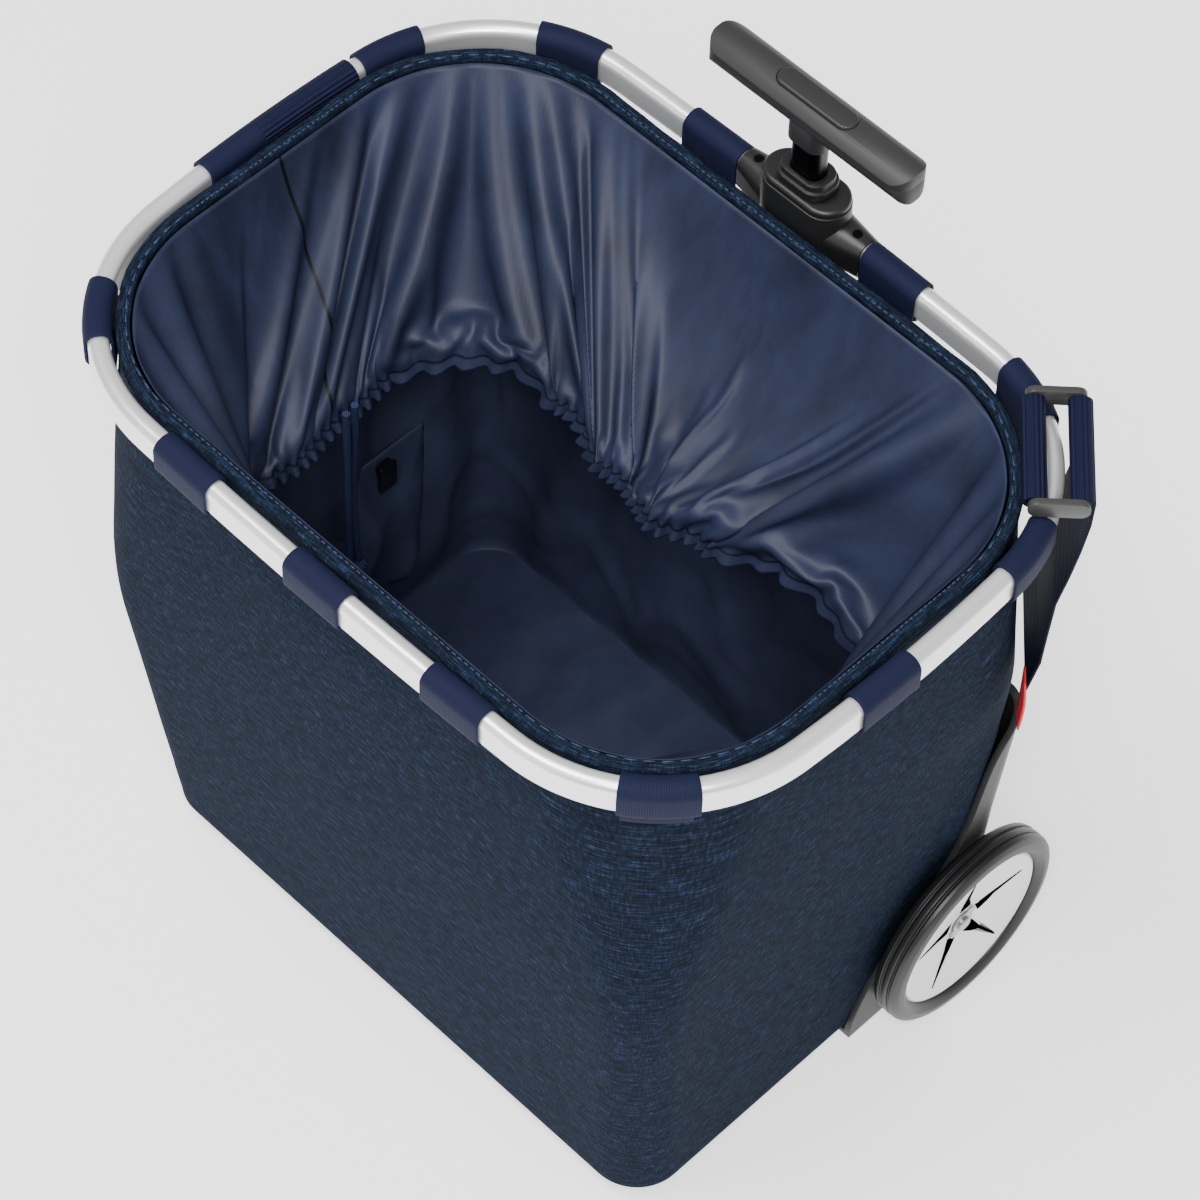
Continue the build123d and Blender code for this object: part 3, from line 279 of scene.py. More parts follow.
def ring_arcs():
    """The ring's outside as arcs, each (centre, radius, first and last angle of its outward way)."""
    long_gap, short_gap = RIM_HALF_Y - CORNER_Y, rim_half_x - CORNER_X
    long_r = (CORNER_X**2 + long_gap**2 - CORNER_R**2) / (2 * (long_gap - CORNER_R))
    short_r = (CORNER_Y**2 + short_gap**2 - CORNER_R**2) / (2 * (short_gap - CORNER_R))
    long_y, short_x = RIM_HALF_Y - long_r, rim_half_x - short_r
    a = math.atan2(CORNER_Y, CORNER_X - short_x)
    b = math.atan2(CORNER_Y - long_y, CORNER_X)
    pi = math.pi
    return [
        ((0, -long_y), long_r, -pi / 2, -b), ((CORNER_X, -CORNER_Y), CORNER_R, -b, -a),
        ((short_x, 0), short_r, -a, a), ((CORNER_X, CORNER_Y), CORNER_R, a, b),
        ((0, long_y), long_r, b, pi - b), ((-CORNER_X, CORNER_Y), CORNER_R, pi - b, pi - a),
        ((-short_x, 0), short_r, pi - a, pi + a), ((-CORNER_X, -CORNER_Y), CORNER_R, pi + a, pi + b),
        ((0, -long_y), long_r, pi + b, 1.5 * pi),
    ]


RING = ring_arcs()
RING_LENGTH = sum((radius - TUBE_HALF_DEPTH) * (last - first) for _, radius, first, last in RING)


def ring_place(distance):
    """Point on the tube's centre line, that far round from the middle of the front, and the way out."""
    left = distance % RING_LENGTH
    for centre, radius, first, last in RING:
        run = (radius - TUBE_HALF_DEPTH) * (last - first)
        if left <= run:
            break
        left -= run
    angle = first + left / (radius - TUBE_HALF_DEPTH)
    out = Vector((math.cos(angle), math.sin(angle), 0))
    reach = radius - TUBE_HALF_DEPTH
    return Vector((centre[0], centre[1] + rim_centre_y, rim_z)) + out * reach, out


def ring_distance(place):
    """How far round the ring the point nearest to a place is."""
    step = 0.0005
    runs = [i * step for i in range(int(RING_LENGTH / step))]
    return min(((ring_place(run)[0] - place).xy.length, run) for run in runs)[1]


# ----------------------------------------
# Loops: thirteen short lengths of navy polyester webbing. Each is folded over the
# tube and sewn to the tub's hem inside the rim, and carries a part of the load.
WEB_THICK, WRAP_CLEAR, LOOP_TAIL, LOOP_WIDE = 0.0013, 0.0011, 0.020, 0.034

# woven tape: matt navy, with fine lengthwise ribs crossed by its picks
webbing = new_material("navy_polyester_webbing", "#20274A", 0.65, Specular_IOR_Level=0.1)
web_uv = add_node(webbing, "ShaderNodeUVMap", uv_map="cloth")
web_split = add_node(webbing, "ShaderNodeSeparateXYZ", {"Vector": web_uv})
web_turns = add_node(webbing, "ShaderNodeMath", {0: web_split.outputs["X"], 1: 6000.0}, operation="MULTIPLY")
web_lines = add_node(webbing, "ShaderNodeMath", {0: web_turns}, operation="SINE")
web_wefts = add_node(webbing, "ShaderNodeMath", {0: web_split.outputs["Y"], 1: 9000.0}, operation="MULTIPLY")
web_picks = add_node(webbing, "ShaderNodeMath", {0: web_wefts}, operation="SINE")
web_weave = add_node(webbing, "ShaderNodeMath", {0: web_lines, 1: web_picks},
                     operation="MULTIPLY")
web_height = add_node(webbing, "ShaderNodeMath", {0: web_lines, 1: web_weave},
                      operation="ADD")
web_level = add_node(webbing, "ShaderNodeMapRange", {
    "Value": web_height, "From Min": -2.0, "From Max": 2.0,
})
web_colour = add_node(webbing, "ShaderNodeValToRGB", {"Fac": web_level},
                      stops=[(0.2, "#0D1020"), (0.85, "#1C2140")])
feed(webbing, "Base Color", web_colour)
web_bump = add_node(webbing, "ShaderNodeBump", {
    "Height": web_level, "Strength": 0.45, "Distance": 0.0003,
})
feed(webbing, "Normal", web_bump)


def mesh_piece(name, points, faces, uvs=None):
    """An object at the origin from points, faces and a UV pair for every point."""
    mesh = bpy.data.meshes.new(name)
    mesh.from_pydata(points, [], faces)
    if uvs:
        layer = mesh.uv_layers.new(name="cloth")
        for loop in mesh.loops:
            layer.data[loop.index].uv = uvs[loop.vertex_index]
    made = bpy.data.objects.new(name, mesh)
    bpy.context.collection.objects.link(made)
    mesh.shade_smooth()
    return made


def grid_faces(rows, columns):
    """Faces of a sheet whose points are given row by row."""
    starts = [j * columns + i for j in range(rows - 1) for i in range(columns - 1)]
    return [(a, a + 1, a + columns + 1, a + columns) for a in starts]


def wrap_profile(tail):
    """The band's line round the tube as (outwards, up), from the tail's low end, over the tube."""
    tube_corner = 0.0046
    half_x, half_z = TUBE_HALF_DEPTH + WRAP_CLEAR, tube_half_height + WRAP_CLEAR
    corner = tube_corner + WRAP_CLEAR
    line = [(-half_x, -tube_half_height - tail * (1 - i / 5)) for i in range(5)]
    line += [(-half_x, -tube_half_height + i * 0.0035) for i in range(4)]
    for sx, sz, start in ((-1, 1, 180), (1, 1, 90), (1, -1, 0), (-1, -1, -90)):
        for i in range(8):
            angle = math.radians(start - 90 * i / 7)
            if sx == -1 and sz == -1 and i > 4:
                break
            line.append((sx * (half_x - corner) + corner * math.cos(angle),
                         sz * (half_z - corner) + corner * math.sin(angle)))
    return line


def band(name, profile, frames):
    """A band of cloth: profile points (outwards, up) carried along frames of (centre, out, across)."""
    points, uvs = [], []
    run = [0.0]
    for before, here in zip(profile, profile[1:]):
        run.append(run[-1] + math.dist(before, here))
    for centre, out, across in frames:
        for (reach, z), v in zip(profile, run):
            points.append(centre + out * reach + Vector((0, 0, z)))
            uvs.append((across, v))
    piece = mesh_piece(name, points, grid_faces(len(frames), len(profile)), uvs)
    apply_modifier(piece, "SOLIDIFY", thickness=WEB_THICK, offset=0.0, use_even_offset=True)
    apply_modifier(piece, "BEVEL", width=0.00035, segments=2, limit_method="ANGLE", angle_limit=1.0)
    piece.data.shade_smooth()
    return piece, run[-1]


def ring_frames(middle, width, steps):
    """Frames along the ring for a band of that width."""
    made = []
    for j in range(steps + 1):
        across = width * (j / steps - 0.5)
        centre, out = ring_place(middle + across)
        made.append((centre, out, across))
    return made


for loop_name in [name for name in sorted(frame["nodes"]) if name.startswith("loop_")]:
    low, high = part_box(loop_name)
    frames = ring_frames(ring_distance((low + high) / 2), LOOP_WIDE, 14)
    loop, wrapped = band(loop_name + "_webbing", wrap_profile(LOOP_TAIL), frames)
    finish_piece(loop, [loop_name], webbing)

# ----------------------------------------
# Hub: a black glass-filled nylon moulding clamped on the ring's two ends, with a
# bezel, two screwed collars and a rubber boot that the pole slides through.
def mould_grain(material, grains, detail, strength, distance):
    """The fine grain that a textured mould leaves, with about so many grains a metre."""
    places = add_node(material, "ShaderNodeTexCoord")
    grain = add_node(material, "ShaderNodeTexNoise", {
        "Vector": places.outputs["Object"], "Scale": grains, "Detail": detail,
    })
    relief = add_node(material, "ShaderNodeBump", {
        "Height": grain, "Strength": strength, "Distance": distance,
    })
    feed(material, "Normal", relief)


black_nylon = new_material("black_glass_filled_nylon", "#141415", 0.42)
mould_grain(black_nylon, 1400.0, 2.0, 0.25, 0.0001)
for hub_name, rounding in (("hub_body", 0.0009), ("hub_bezel", 0.0007), ("hub_collars", 0.0009)):
    finish_piece(softened(hub_name, rounding), [hub_name], black_nylon)
# screws, pins and axles: bright zinc plate; the hub's screws are near black, painted shade that stands for the
# shaded holes they sit in beside the hub
steel = new_material("zinc_plated_steel", "#A9A9A6", 0.35, 1.0)
hole_shade_steel = new_material("near_black_steel_painted_hole_shade", "#1A1A1B", 0.4, 1.0)
paint(hole_shade_steel, "hub_screws")
paint(steel, "grip_screws", "carriage_screws", "release_rod", "middle_lock_pin", "inner_lock_pin")
paint(steel, "stub_axles", "axle_washers", "axle_clips")

# ----------------------------------------
# Pole: a satin anodised outer tube, middle and inner ones dyed black, and the
# moulded guides and sliders that run between them.
black_anodised = new_material("black_anodised_aluminium", "#1C1C1E", 0.35, 1.0)
paint(black_anodised, "pole_inner_tube", "pole_middle_tube")
paint(black_nylon, "outer_guide", "middle_slider", "inner_slider")
finish_piece(softened("middle_guide", 0.0006), ["middle_guide"], black_nylon)

# ----------------------------------------
# Grip: two dark grey soft-touch shells screwed together round the pole's top,
# with a long sprung release button of the same plastic let into the crown.
soft_touch = new_material("dark_grey_soft_touch_plastic", "#252526", 0.55)
mould_grain(soft_touch, 2200.0, 1.0, 0.2, 0.0001)
button_plastic = new_material("charcoal_button_plastic", "#222223", 0.45)
for grip_name in ("grip_upper", "grip_lower"):
    finish_piece(softened(grip_name, 0.0007), [grip_name], soft_touch)
finish_piece(softened("release_button", 0.0005), ["release_button"], button_plastic)

# the button's coil spring shortens as the button goes down
spring = bpy.data.objects.new("coiled_button_spring", frame["nodes"]["button_spring"].data.copy())
bpy.context.collection.objects.link(spring)
apply_modifier(spring, "WELD", merge_threshold=0.000002)
finish_piece(spring, ["button_spring"], steel)
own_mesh(spring)

# ----------------------------------------
# Tub: padded polyester melange cloth, cut in panels and turned over a board. It
# hangs from the loops, so it's straight at the top and bellies a little below.
TUB_CORNERS = (0.026, 0.025, 0.023, 0.052, 0.084)
TUB_LEVELS = (0.013, 0.125, 0.213, 0.290, 0.388)
ARC_COLUMNS, LONG_COLUMNS, SHORT_COLUMNS = 16, 60, 36
TUB_COLUMNS = 4 * ARC_COLUMNS + 2 * LONG_COLUMNS + 2 * SHORT_COLUMNS


def tub_measures():
    """Half width, front, back and corner radius at each level of the CAD tub."""
    corners = [v.co for v in frame["nodes"]["bag_body"].data.vertices]
    made = []
    for level, radius in zip(TUB_LEVELS, TUB_CORNERS):
        near = [c for c in corners if abs(c.z - level) < 0.0012]
        made.append((level, max(c.x for c in near), min(c.y for c in near), max(c.y for c in near), radius))
    return made


TUB = tub_measures()


def ruled_size(height):
    """The tub's sizes at any height, straight between its levels."""
    height = min(max(height, TUB[0][0]), TUB[-1][0])
    for low, high in zip(TUB, TUB[1:]):
        if height <= high[0]:
            share = (height - low[0]) / (high[0] - low[0])
            return [a + (b - a) * share for a, b in zip(low[1:], high[1:])]


def tub_size(height):
    """The same, eased over the levels as cloth does."""
    reach = min(0.030, height - TUB[0][0], TUB[-1][0] - height)
    sizes = [ruled_size(height + max(reach, 0) * step / 3) for step in range(-3, 4)]
    return [sum(column) / len(column) for column in zip(*sizes)]


def tub_place(column, height, inset):
    """Point and outward way of one column of the tub's outline, that far inside it at a height."""
    half_x, front, back, radius = tub_size(height)
    centre_y = (front + back) / 2
    half_y = (back - front) / 2 - inset
    half_x, radius = half_x - inset, radius - inset
    flat_x, flat_y = half_x - radius, half_y - radius
    column = column % TUB_COLUMNS
    corners = ((1, -1, -90), (1, 1, 0), (-1, 1, 90), (-1, -1, 180))
    straight = (SHORT_COLUMNS, LONG_COLUMNS, SHORT_COLUMNS, LONG_COLUMNS)
    for (sx, sy, start), columns in zip(corners, straight):
        if column <= ARC_COLUMNS:
            angle = math.radians(start + 90 * column / ARC_COLUMNS)
            out = Vector((math.cos(angle), math.sin(angle), 0))
            return Vector((sx * flat_x, centre_y + sy * flat_y, height)) + out * radius, out
        column -= ARC_COLUMNS
        if column < columns:
            angle = math.radians(start + 90)
            out = Vector((math.cos(angle), math.sin(angle), 0))
            along = Vector((-out.y, out.x, 0))
            length = 2 * (flat_y if abs(out.y) < 0.5 else flat_x)
            begin = Vector((sx * flat_x, centre_y + sy * flat_y, height)) + out * radius
            return begin + along * (length * column / columns), out
        column -= columns


def closed_rows(name, rows, uvs, cap_start=None):
    """A mesh from rows of points that each close on themselves, with one UV more in a row than points."""
    count = len(rows[0])
    points = [p for row in rows for p in row]
    faces, corner_uvs = [], []
    for j in range(len(rows) - 1):
        for i in range(count):
            k = (i + 1) % count
            faces.append((j * count + i, j * count + k, (j + 1) * count + k, (j + 1) * count + i))
            corner_uvs += [uvs[j][i], uvs[j][i + 1], uvs[j + 1][i + 1], uvs[j + 1][i]]
    if cap_start is not None:
        points.append(cap_start)
        tip = len(points) - 1
        for i in range(count):
            k = (i + 1) % count
            faces.append((tip, k, i))
            corner_uvs += [(0, 0), points[k][:2], points[i][:2]]
    made = mesh_piece(name, points, faces)
    for corner, uv in zip(made.data.uv_layers.new(name="cloth").data, corner_uvs):
        corner.uv = uv
    return made


def cloth_noise(place, scale, seed):
    """Smooth noise from -1 to 1 with features of about that size."""
    return noise.noise(Vector(place) / scale + Vector((seed, 0, 0)))


# melange cloth: navy yarns of uneven dye, so short lighter streaks run both ways over a matt face
melange = new_material("navy_melange_polyester", "#2A3C5C", 0.9, Specular_IOR_Level=0.05)
mel_uv = add_node(melange, "ShaderNodeUVMap", uv_map="cloth")


def streaks(material, source, across, up, seed, detail=2.0):
    """Noise stretched into streaks, with so many features a metre each way."""
    place = add_node(material, "ShaderNodeMapping", {
        "Vector": source, "Scale": (across, up, 1.0), "Location": (seed, seed, 0.0),
    })
    made = add_node(material, "ShaderNodeTexNoise", {
        "Vector": place, "Scale": 1.0, "Detail": detail, "Roughness": 0.6,
    })
    return made


mel_weft = streaks(melange, mel_uv, 130.0, 1500.0, 3.0)
mel_warp = streaks(melange, mel_uv, 1500.0, 170.0, 11.0)
mel_slow = streaks(melange, mel_uv, 45.0, 500.0, 7.0)
mel_all = add_node(melange, "ShaderNodeMath", {0: mel_weft, 1: 0.55}, operation="MULTIPLY")
for streak, share in ((mel_warp, 0.30), (mel_slow, 0.15)):
    mel_part = add_node(melange, "ShaderNodeMath", {0: streak, 1: share}, operation="MULTIPLY")
    mel_all = add_node(melange, "ShaderNodeMath", {0: mel_all, 1: mel_part},
                       operation="ADD")
mel_colour = add_node(melange, "ShaderNodeValToRGB", {"Fac": mel_all}, stops=[
    (0.34, "#070A10"), (0.46, "#0F1620"), (0.54, "#171F2E"), (0.67, "#2F4064"),
])
feed(melange, "Base Color", mel_colour)
mel_bump = add_node(melange, "ShaderNodeBump", {
    "Height": mel_all, "Strength": 0.35, "Distance": 0.0004,
})
feed(melange, "Normal", mel_bump)

OUTER_CLOTH = 0.0020
BELLY = 0.0035
carriage_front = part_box("carriage")[0].y
carriage_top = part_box("carriage")[1].z


def outer_swell(place, out, height):
    """How far the cloth bellies outwards, which is nothing where the carriage holds it."""
    share = min(max((height - 0.02) / 0.34, 0), 1)
    swell = BELLY * math.sin(math.pi * share) ** 0.8
    if out.y > -0.5:
        held = min(max((place.y - carriage_front) / 0.05, 0), 1)
        above = min(max((height - carriage_top) / 0.04, 0), 1)
        swell *= max(1 - held, above)
    return swell + 0.0009 * cloth_noise(place, 0.09, 4.0) * (swell > 0.001)


bag_heights = [TUB_LEVELS[0] + (TUB_LEVELS[-1] - TUB_LEVELS[0]) * i / 75 for i in range(76)]
bag_centre_y = (TUB[0][2] + TUB[0][3]) / 2


def floor_row(share, height, inset):
    """A row of the tub's floor: its lowest outline, drawn in to a share of its size."""
    places = [tub_place(column, TUB_LEVELS[0], inset)[0] for column in range(TUB_COLUMNS)]
    return [(p.x * share, bag_centre_y + (p.y - bag_centre_y) * share, height) for p in places]


underside = [(0.72, 0.007), (0.9, 0.007), (0.955, 0.0072), (0.975, 0.0082), (0.991, 0.0105)]
outer_rows = [floor_row(share, height, 0) for share, height in underside]
for height in bag_heights:
    row = []
    for column in range(TUB_COLUMNS):
        place, out = tub_place(column, height, 0)
        row.append(place + out * outer_swell(place, out, height))
    outer_rows.append(row)


def row_lengths(rows):
    """UVs in metres for closed rows: round by the middle row's length, up by the rows' distance."""
    middle = rows[len(rows) // 2]
    count = len(middle)
    round_it = [0.0]
    for i in range(count):
        round_it.append(round_it[-1] + (Vector(middle[(i + 1) % count]) - Vector(middle[i])).length)
    up, made = 0.0, []
    for j, row in enumerate(rows):
        if j:
            up += (Vector(row[0]) - Vector(rows[j - 1][0])).length
        made.append([(r, up) for r in round_it])
    return made


bag = closed_rows("outer_bag_cloth", outer_rows, row_lengths(outer_rows),
                  cap_start=(0, bag_centre_y, 0.007))
apply_modifier(bag, "SOLIDIFY", thickness=OUTER_CLOTH, offset=-1.0, use_even_offset=True)
finish_piece(bag, ["bag_body"], melange)

# ----------------------------------------
# Hem: the tub's top edge, turned in and bound with the same cloth, held by two
# rows of blue stitches, which also sew the bag to the loops.
HEM_POINTS = 12
hem_low, hem_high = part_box("rim_hem")
hem_rows = []
hem_middle = (hem_low.z + hem_high.z) / 2
hem_half = (hem_high.z - hem_low.z) / 2
for j in range(HEM_POINTS):
    cosine, sine = math.cos(2 * math.pi * j / HEM_POINTS), math.sin(2 * math.pi * j / HEM_POINTS)
    row = []
    for column in range(TUB_COLUMNS):
        place, out = tub_place(column, TUB_LEVELS[-1], 0)
        pulled = 0.0008 * cloth_noise(place, 0.018, 9.0)
        reach = -0.0020 + 0.0034 * math.copysign(abs(cosine) ** 0.6, cosine) + pulled
        lift = hem_half * math.copysign(abs(sine) ** 0.6, sine)
        row.append(Vector((place.x, place.y, hem_middle + lift)) + out * reach)
    hem_rows.append(row)
hem_rows.append(hem_rows[0])


def edit_all(piece, operator, **settings):
    """Runs an edit-mode operator on a whole piece."""
    use(piece)
    bpy.ops.object.mode_set(mode="EDIT")
    bpy.ops.mesh.select_all(action="SELECT")
    operator(**settings)
    bpy.ops.object.mode_set(mode="OBJECT")


hem = closed_rows("hem_binding", hem_rows, row_lengths(hem_rows))
edit_all(hem, bpy.ops.mesh.remove_doubles, threshold=0.00002)
edit_all(hem, bpy.ops.mesh.normals_make_consistent, inside=False)
finish_piece(hem, ["rim_hem"], melange)

stitch_thread = new_material("blue_hem_thread", "#22324F", 0.6)
BLOCK_FACES = ((0, 3, 2, 1), (7, 4, 5, 6), (0, 1, 5, 4), (1, 2, 6, 5), (2, 3, 7, 6), (3, 0, 4, 7))
stitch_points, stitch_faces = [], []
for stitch in range(TUB_COLUMNS):
    start, out = tub_place(stitch + 0.15, TUB_LEVELS[-1], 0)
    end = tub_place(stitch + 0.75, TUB_LEVELS[-1], 0)[0]
    for row_inset in (0.0002, 0.0038):
        side = out * 0.0003
        top = hem_high.z + 0.0001 - (0.0012 if row_inset < 0.001 else 0.0005)
        base = len(stitch_points)
        for end_place in (start, end):
            for across, lift in ((-1, -0.0006), (1, -0.0006), (1, 0.0003), (-1, 0.0003)):
                at = end_place - out * row_inset + side * across
                stitch_points.append((at.x, at.y, top + lift))
        stitch_faces += [tuple(base + corner for corner in face) for face in BLOCK_FACES]
stitches = mesh_piece("hem_stitches", stitch_points, stitch_faces)
stitches.data.materials.append(stitch_thread)
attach(stitches, "trolley")

# ----------------------------------------
# Lining: thin navy polyester satin, a little larger than the tub and only caught
# at the hem, so that it lies in soft upright folds against the walls and floor.
# thin satin: a soft broad shine, fine upright threads, and slow changes of tone where it is creased, which are
# painted shade: the colour follows the crease relief and is darker in its hollows
satin = new_material("navy_polyester_satin", "#2F3656", 0.47, Specular_IOR_Level=0.22)
satin_uv = add_node(satin, "ShaderNodeUVMap", uv_map="cloth")
satin_rib = streaks(satin, satin_uv, 2600.0, 220.0, 5.0, 1.0)
satin_creases_and_shade = streaks(satin, satin_uv, 35.0, 22.0, 13.0, 3.0)
satin_mix = add_node(satin, "ShaderNodeMath", {0: satin_rib, 1: 0.35}, operation="MULTIPLY")
satin_relief_and_shade = add_node(satin, "ShaderNodeMath", {0: satin_mix, 1: satin_creases_and_shade}, operation="ADD")
# painted shade: raised parts of the crease relief are coloured lighter, hollows darker
satin_threads_and_crease_shade = add_node(satin, "ShaderNodeValToRGB", {"Fac": satin_relief_and_shade},
                        stops=[(0.45, "#191D2E"), (0.85, "#242A42")])
feed(satin, "Base Color", satin_threads_and_crease_shade)
satin_bump = add_node(satin, "ShaderNodeBump", {
    "Height": satin_relief_and_shade, "Strength": 0.12, "Distance": 0.0012,
})
feed(satin, "Normal", satin_bump)


def node_of(material, kind):
    """The material's first node of a kind."""
    return [node for node in material.node_tree.nodes if node.bl_idname == kind][0]


# painted light: the lining's satin is a paler copy of the collar's, so that its folds still read deep in the
# tub where little light reaches
lightened_lining = satin.copy()
lightened_lining.name = "navy_lining_satin_painted_lighter"
for element, colour in zip(node_of(lightened_lining, "ShaderNodeValToRGB").color_ramp.elements, ("#2A2F44", "#373D55")):
    element.color = linear(colour)

LINER_INSET, LINER_FLOOR, LINER_ROWS = 0.0036, 0.0105, 56
liner_start, liner_top = LINER_FLOOR + 0.004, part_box("bag_liner")[1].z


def crease(place, scale, seed):
    """Ridged noise from 0 to 1, sharp along its ridges as creased cloth is."""
    return 1 - abs(noise.noise(Vector(place) / scale + Vector((seed, seed, 0))))


liner_rows = [floor_row(share, LINER_FLOOR, LINER_INSET) for share in (0.55, 0.8, 0.93, 0.985)]
for j in range(LINER_ROWS):
    height = liner_start + (liner_top - liner_start) * j / (LINER_ROWS - 1)
    row = []
    for column in range(TUB_COLUMNS):
        place, out = tub_place(column, height, LINER_INSET)
        along = Vector((place.x, place.y, height * 0.35))
        folded = max(0.0, crease(along, 0.075, 2.0) - 0.62) * 0.026
        folded += max(0.0, crease(Vector((place.x, place.y, height)), 0.05, 21.0) - 0.8) * 0.012
        fade = min(1.0, (height - LINER_FLOOR) / 0.05) * min(1.0, (liner_top - height) / 0.05)
        row.append(place - out * (folded * fade))
    liner_rows.append(row)
liner_middle = (0, bag_centre_y, LINER_FLOOR)
liner = closed_rows("satin_lining", liner_rows, row_lengths(liner_rows), cap_start=liner_middle)
edit_all(liner, bpy.ops.mesh.flip_normals)
apply_modifier(liner, "SOLIDIFY", thickness=0.0004, offset=0.0)
finish_piece(liner, ["bag_liner"], lightened_lining)

# the stiff board in the tub's floor, wrapped in the same satin
board = softened("base_board", 0.0009)
# painted light: the board gets the lining's paler copy of the satin
finish_piece(board, ["base_board"], lightened_lining)
board_uv = board.data.uv_layers.new(name="cloth")
for loop in board.data.loops:
    board_uv.data[loop.index].uv = board.data.vertices[loop.vertex_index].co.xy

# ----------------------------------------
# Collar: a skirt of satin sewn inside the hem. A cord in its lower channel draws
# it in, so its lower edge is ruffled and the cloth above falls in long creases.
COLLAR_COLUMNS, COLLAR_ROWS, DRAWN_FRAME, COLLAR_FRAMES = 360, 30, 30, 44
COLLAR_INSET, COLLAR_LIMIT, COLLAR_DEPTH, RUFFLE = 0.0066, 0.0058, 1.08, 0.0024
FRILL_ROWS, FRILL_DEEP, SEAM_Y = 3, 0.0062, -0.006
GATHER_CENTRE = Vector((0.012, -0.036))
# the gathered edge as it hangs, as points round the opening
GATHER = (
    (-0.124, -0.089, 0.276), (-0.122, -0.058, 0.276), (-0.125, -0.027, 0.280), (-0.122, 0.006, 0.286),
    (-0.106, 0.026, 0.292), (-0.084, 0.041, 0.296), (-0.049, 0.039, 0.298), (-0.011, 0.028, 0.298),
    (0.027, 0.022, 0.298), (0.058, 0.030, 0.298), (0.086, 0.046, 0.298), (0.117, 0.047, 0.296),
    (0.146, 0.036, 0.294), (0.153, 0.000, 0.292), (0.152, -0.050, 0.290), (0.138, -0.092, 0.288),
    (0.100, -0.110, 0.286), (0.030, -0.114, 0.284), (-0.050, -0.113, 0.280), (-0.105, -0.107, 0.276),
)


def gathered_place(angle):
    """Where the drawn-in edge is, in one direction from its centre."""
    turns = []
    for x, y, z in GATHER:
        x, y = x - GATHER_CENTRE.x, y - GATHER_CENTRE.y
        turns.append((math.atan2(y, x), math.hypot(x, y), z))
    turns.sort()
    first, last = turns[0], turns[-1]
    turns = [(last[0] - 2 * math.pi, *last[1:])] + turns + [(first[0] + 2 * math.pi, *first[1:])]
    for low, high in zip(turns, turns[1:]):
        if low[0] <= angle <= high[0]:
            share = (angle - low[0]) / (high[0] - low[0])
            share = share * share * (3 - 2 * share)
            reach = low[1] + (high[1] - low[1]) * share
            height = low[2] + (high[2] - low[2]) * share
            return Vector((
                GATHER_CENTRE.x + reach * math.cos(angle), GATHER_CENTRE.y + reach * math.sin(angle), height,
            ))


collar_top_z = hem_high.z - 0.003
collar_points, collar_gathered, top_line, low_line = [], [], [], []
for i in range(COLLAR_COLUMNS):
    place, out = tub_place(i * TUB_COLUMNS / COLLAR_COLUMNS, TUB_LEVELS[-1], COLLAR_INSET)
    top_line.append((Vector((place.x, place.y, collar_top_z)), out))
    low_line.append(gathered_place(math.atan2(place.y - bag_centre_y, place.x)))
depths = [(top - low).length * COLLAR_DEPTH for (top, _), low in zip(top_line, low_line)]
depths = [sum(depths[(i + k) % COLLAR_COLUMNS] for k in range(-12, 13)) / 25 for i in range(COLLAR_COLUMNS)]
for j in range(COLLAR_ROWS):
    share = j / (COLLAR_ROWS - 1)
    for i in range(COLLAR_COLUMNS):
        top, out = top_line[i]
        hung = top - Vector((0, 0, depths[i] * share)) - out * 0.0004 * share
        hung += out * 0.0012 * share * cloth_noise(hung, 0.03, 31.0)
        collar_points.append(hung)
        behind, ahead = low_line[i - 1], low_line[(i + 1) % COLLAR_COLUMNS]
        along = (ahead - behind).normalized()
        inwards = Vector((-along.y, along.x, 0))
        beat = 1 if i % 4 < 2 else -1
        wave = RUFFLE * beat * (0.7 + 0.5 * noise.noise(Vector((i * 0.31, 4.0, 0.0))))
        drawn = low_line[i] + inwards * wave + Vector((0, 0, 0.0015 * noise.noise(Vector((i * 0.21, 8.0, 0)))))
        collar_gathered.append(top.lerp(drawn, share))
collar_faces = []
for j in range(COLLAR_ROWS - 1):
    for i in range(COLLAR_COLUMNS):
        k = (i + 1) % COLLAR_COLUMNS
        a, b = j * COLLAR_COLUMNS, (j + 1) * COLLAR_COLUMNS
        collar_faces.append((a + i, a + k, b + k, b + i))
collar = mesh_piece("gathered_satin_collar", collar_points, collar_faces)
collar_layer = collar.data.uv_layers.new(name="cloth")
TOP_RUN = sum((top_line[i][0] - top_line[i - 1][0]).length for i in range(COLLAR_COLUMNS))
for polygon in collar.data.polygons:
    for index in polygon.loop_indices:
        vertex = collar.data.loops[index].vertex_index
        i, j = vertex % COLLAR_COLUMNS, vertex // COLLAR_COLUMNS
        if i == 0 and any(v % COLLAR_COLUMNS == COLLAR_COLUMNS - 1 for v in polygon.vertices):
            i = COLLAR_COLUMNS
        collar_layer.data[index].uv = (i / COLLAR_COLUMNS * TOP_RUN, 0.125 * (1 - j / (COLLAR_ROWS - 1)))
pins = collar.vertex_groups.new(name="sewn")
pinned = [i for i in range(len(collar_points)) if i < COLLAR_COLUMNS or i >= (COLLAR_ROWS - 1) * COLLAR_COLUMNS]
pins.add(pinned, 1.0, "REPLACE")
use(collar)
collar.shape_key_add(name="hung")
drawn_key = collar.shape_key_add(name="drawn_in")
for i, place in enumerate(collar_gathered):
    drawn_key.data[i].co = place
drawn_key.value = 0.0
drawn_key.keyframe_insert("value", frame=1)
drawn_key.value = 1.0
drawn_key.keyframe_insert("value", frame=DRAWN_FRAME)
cloth = collar.modifiers.new("cloth", "CLOTH")
cloth.settings.quality = 7
cloth.settings.mass = 0.12
cloth.settings.air_damping = 2.0
cloth.settings.tension_stiffness = 20
cloth.settings.compression_stiffness = 20
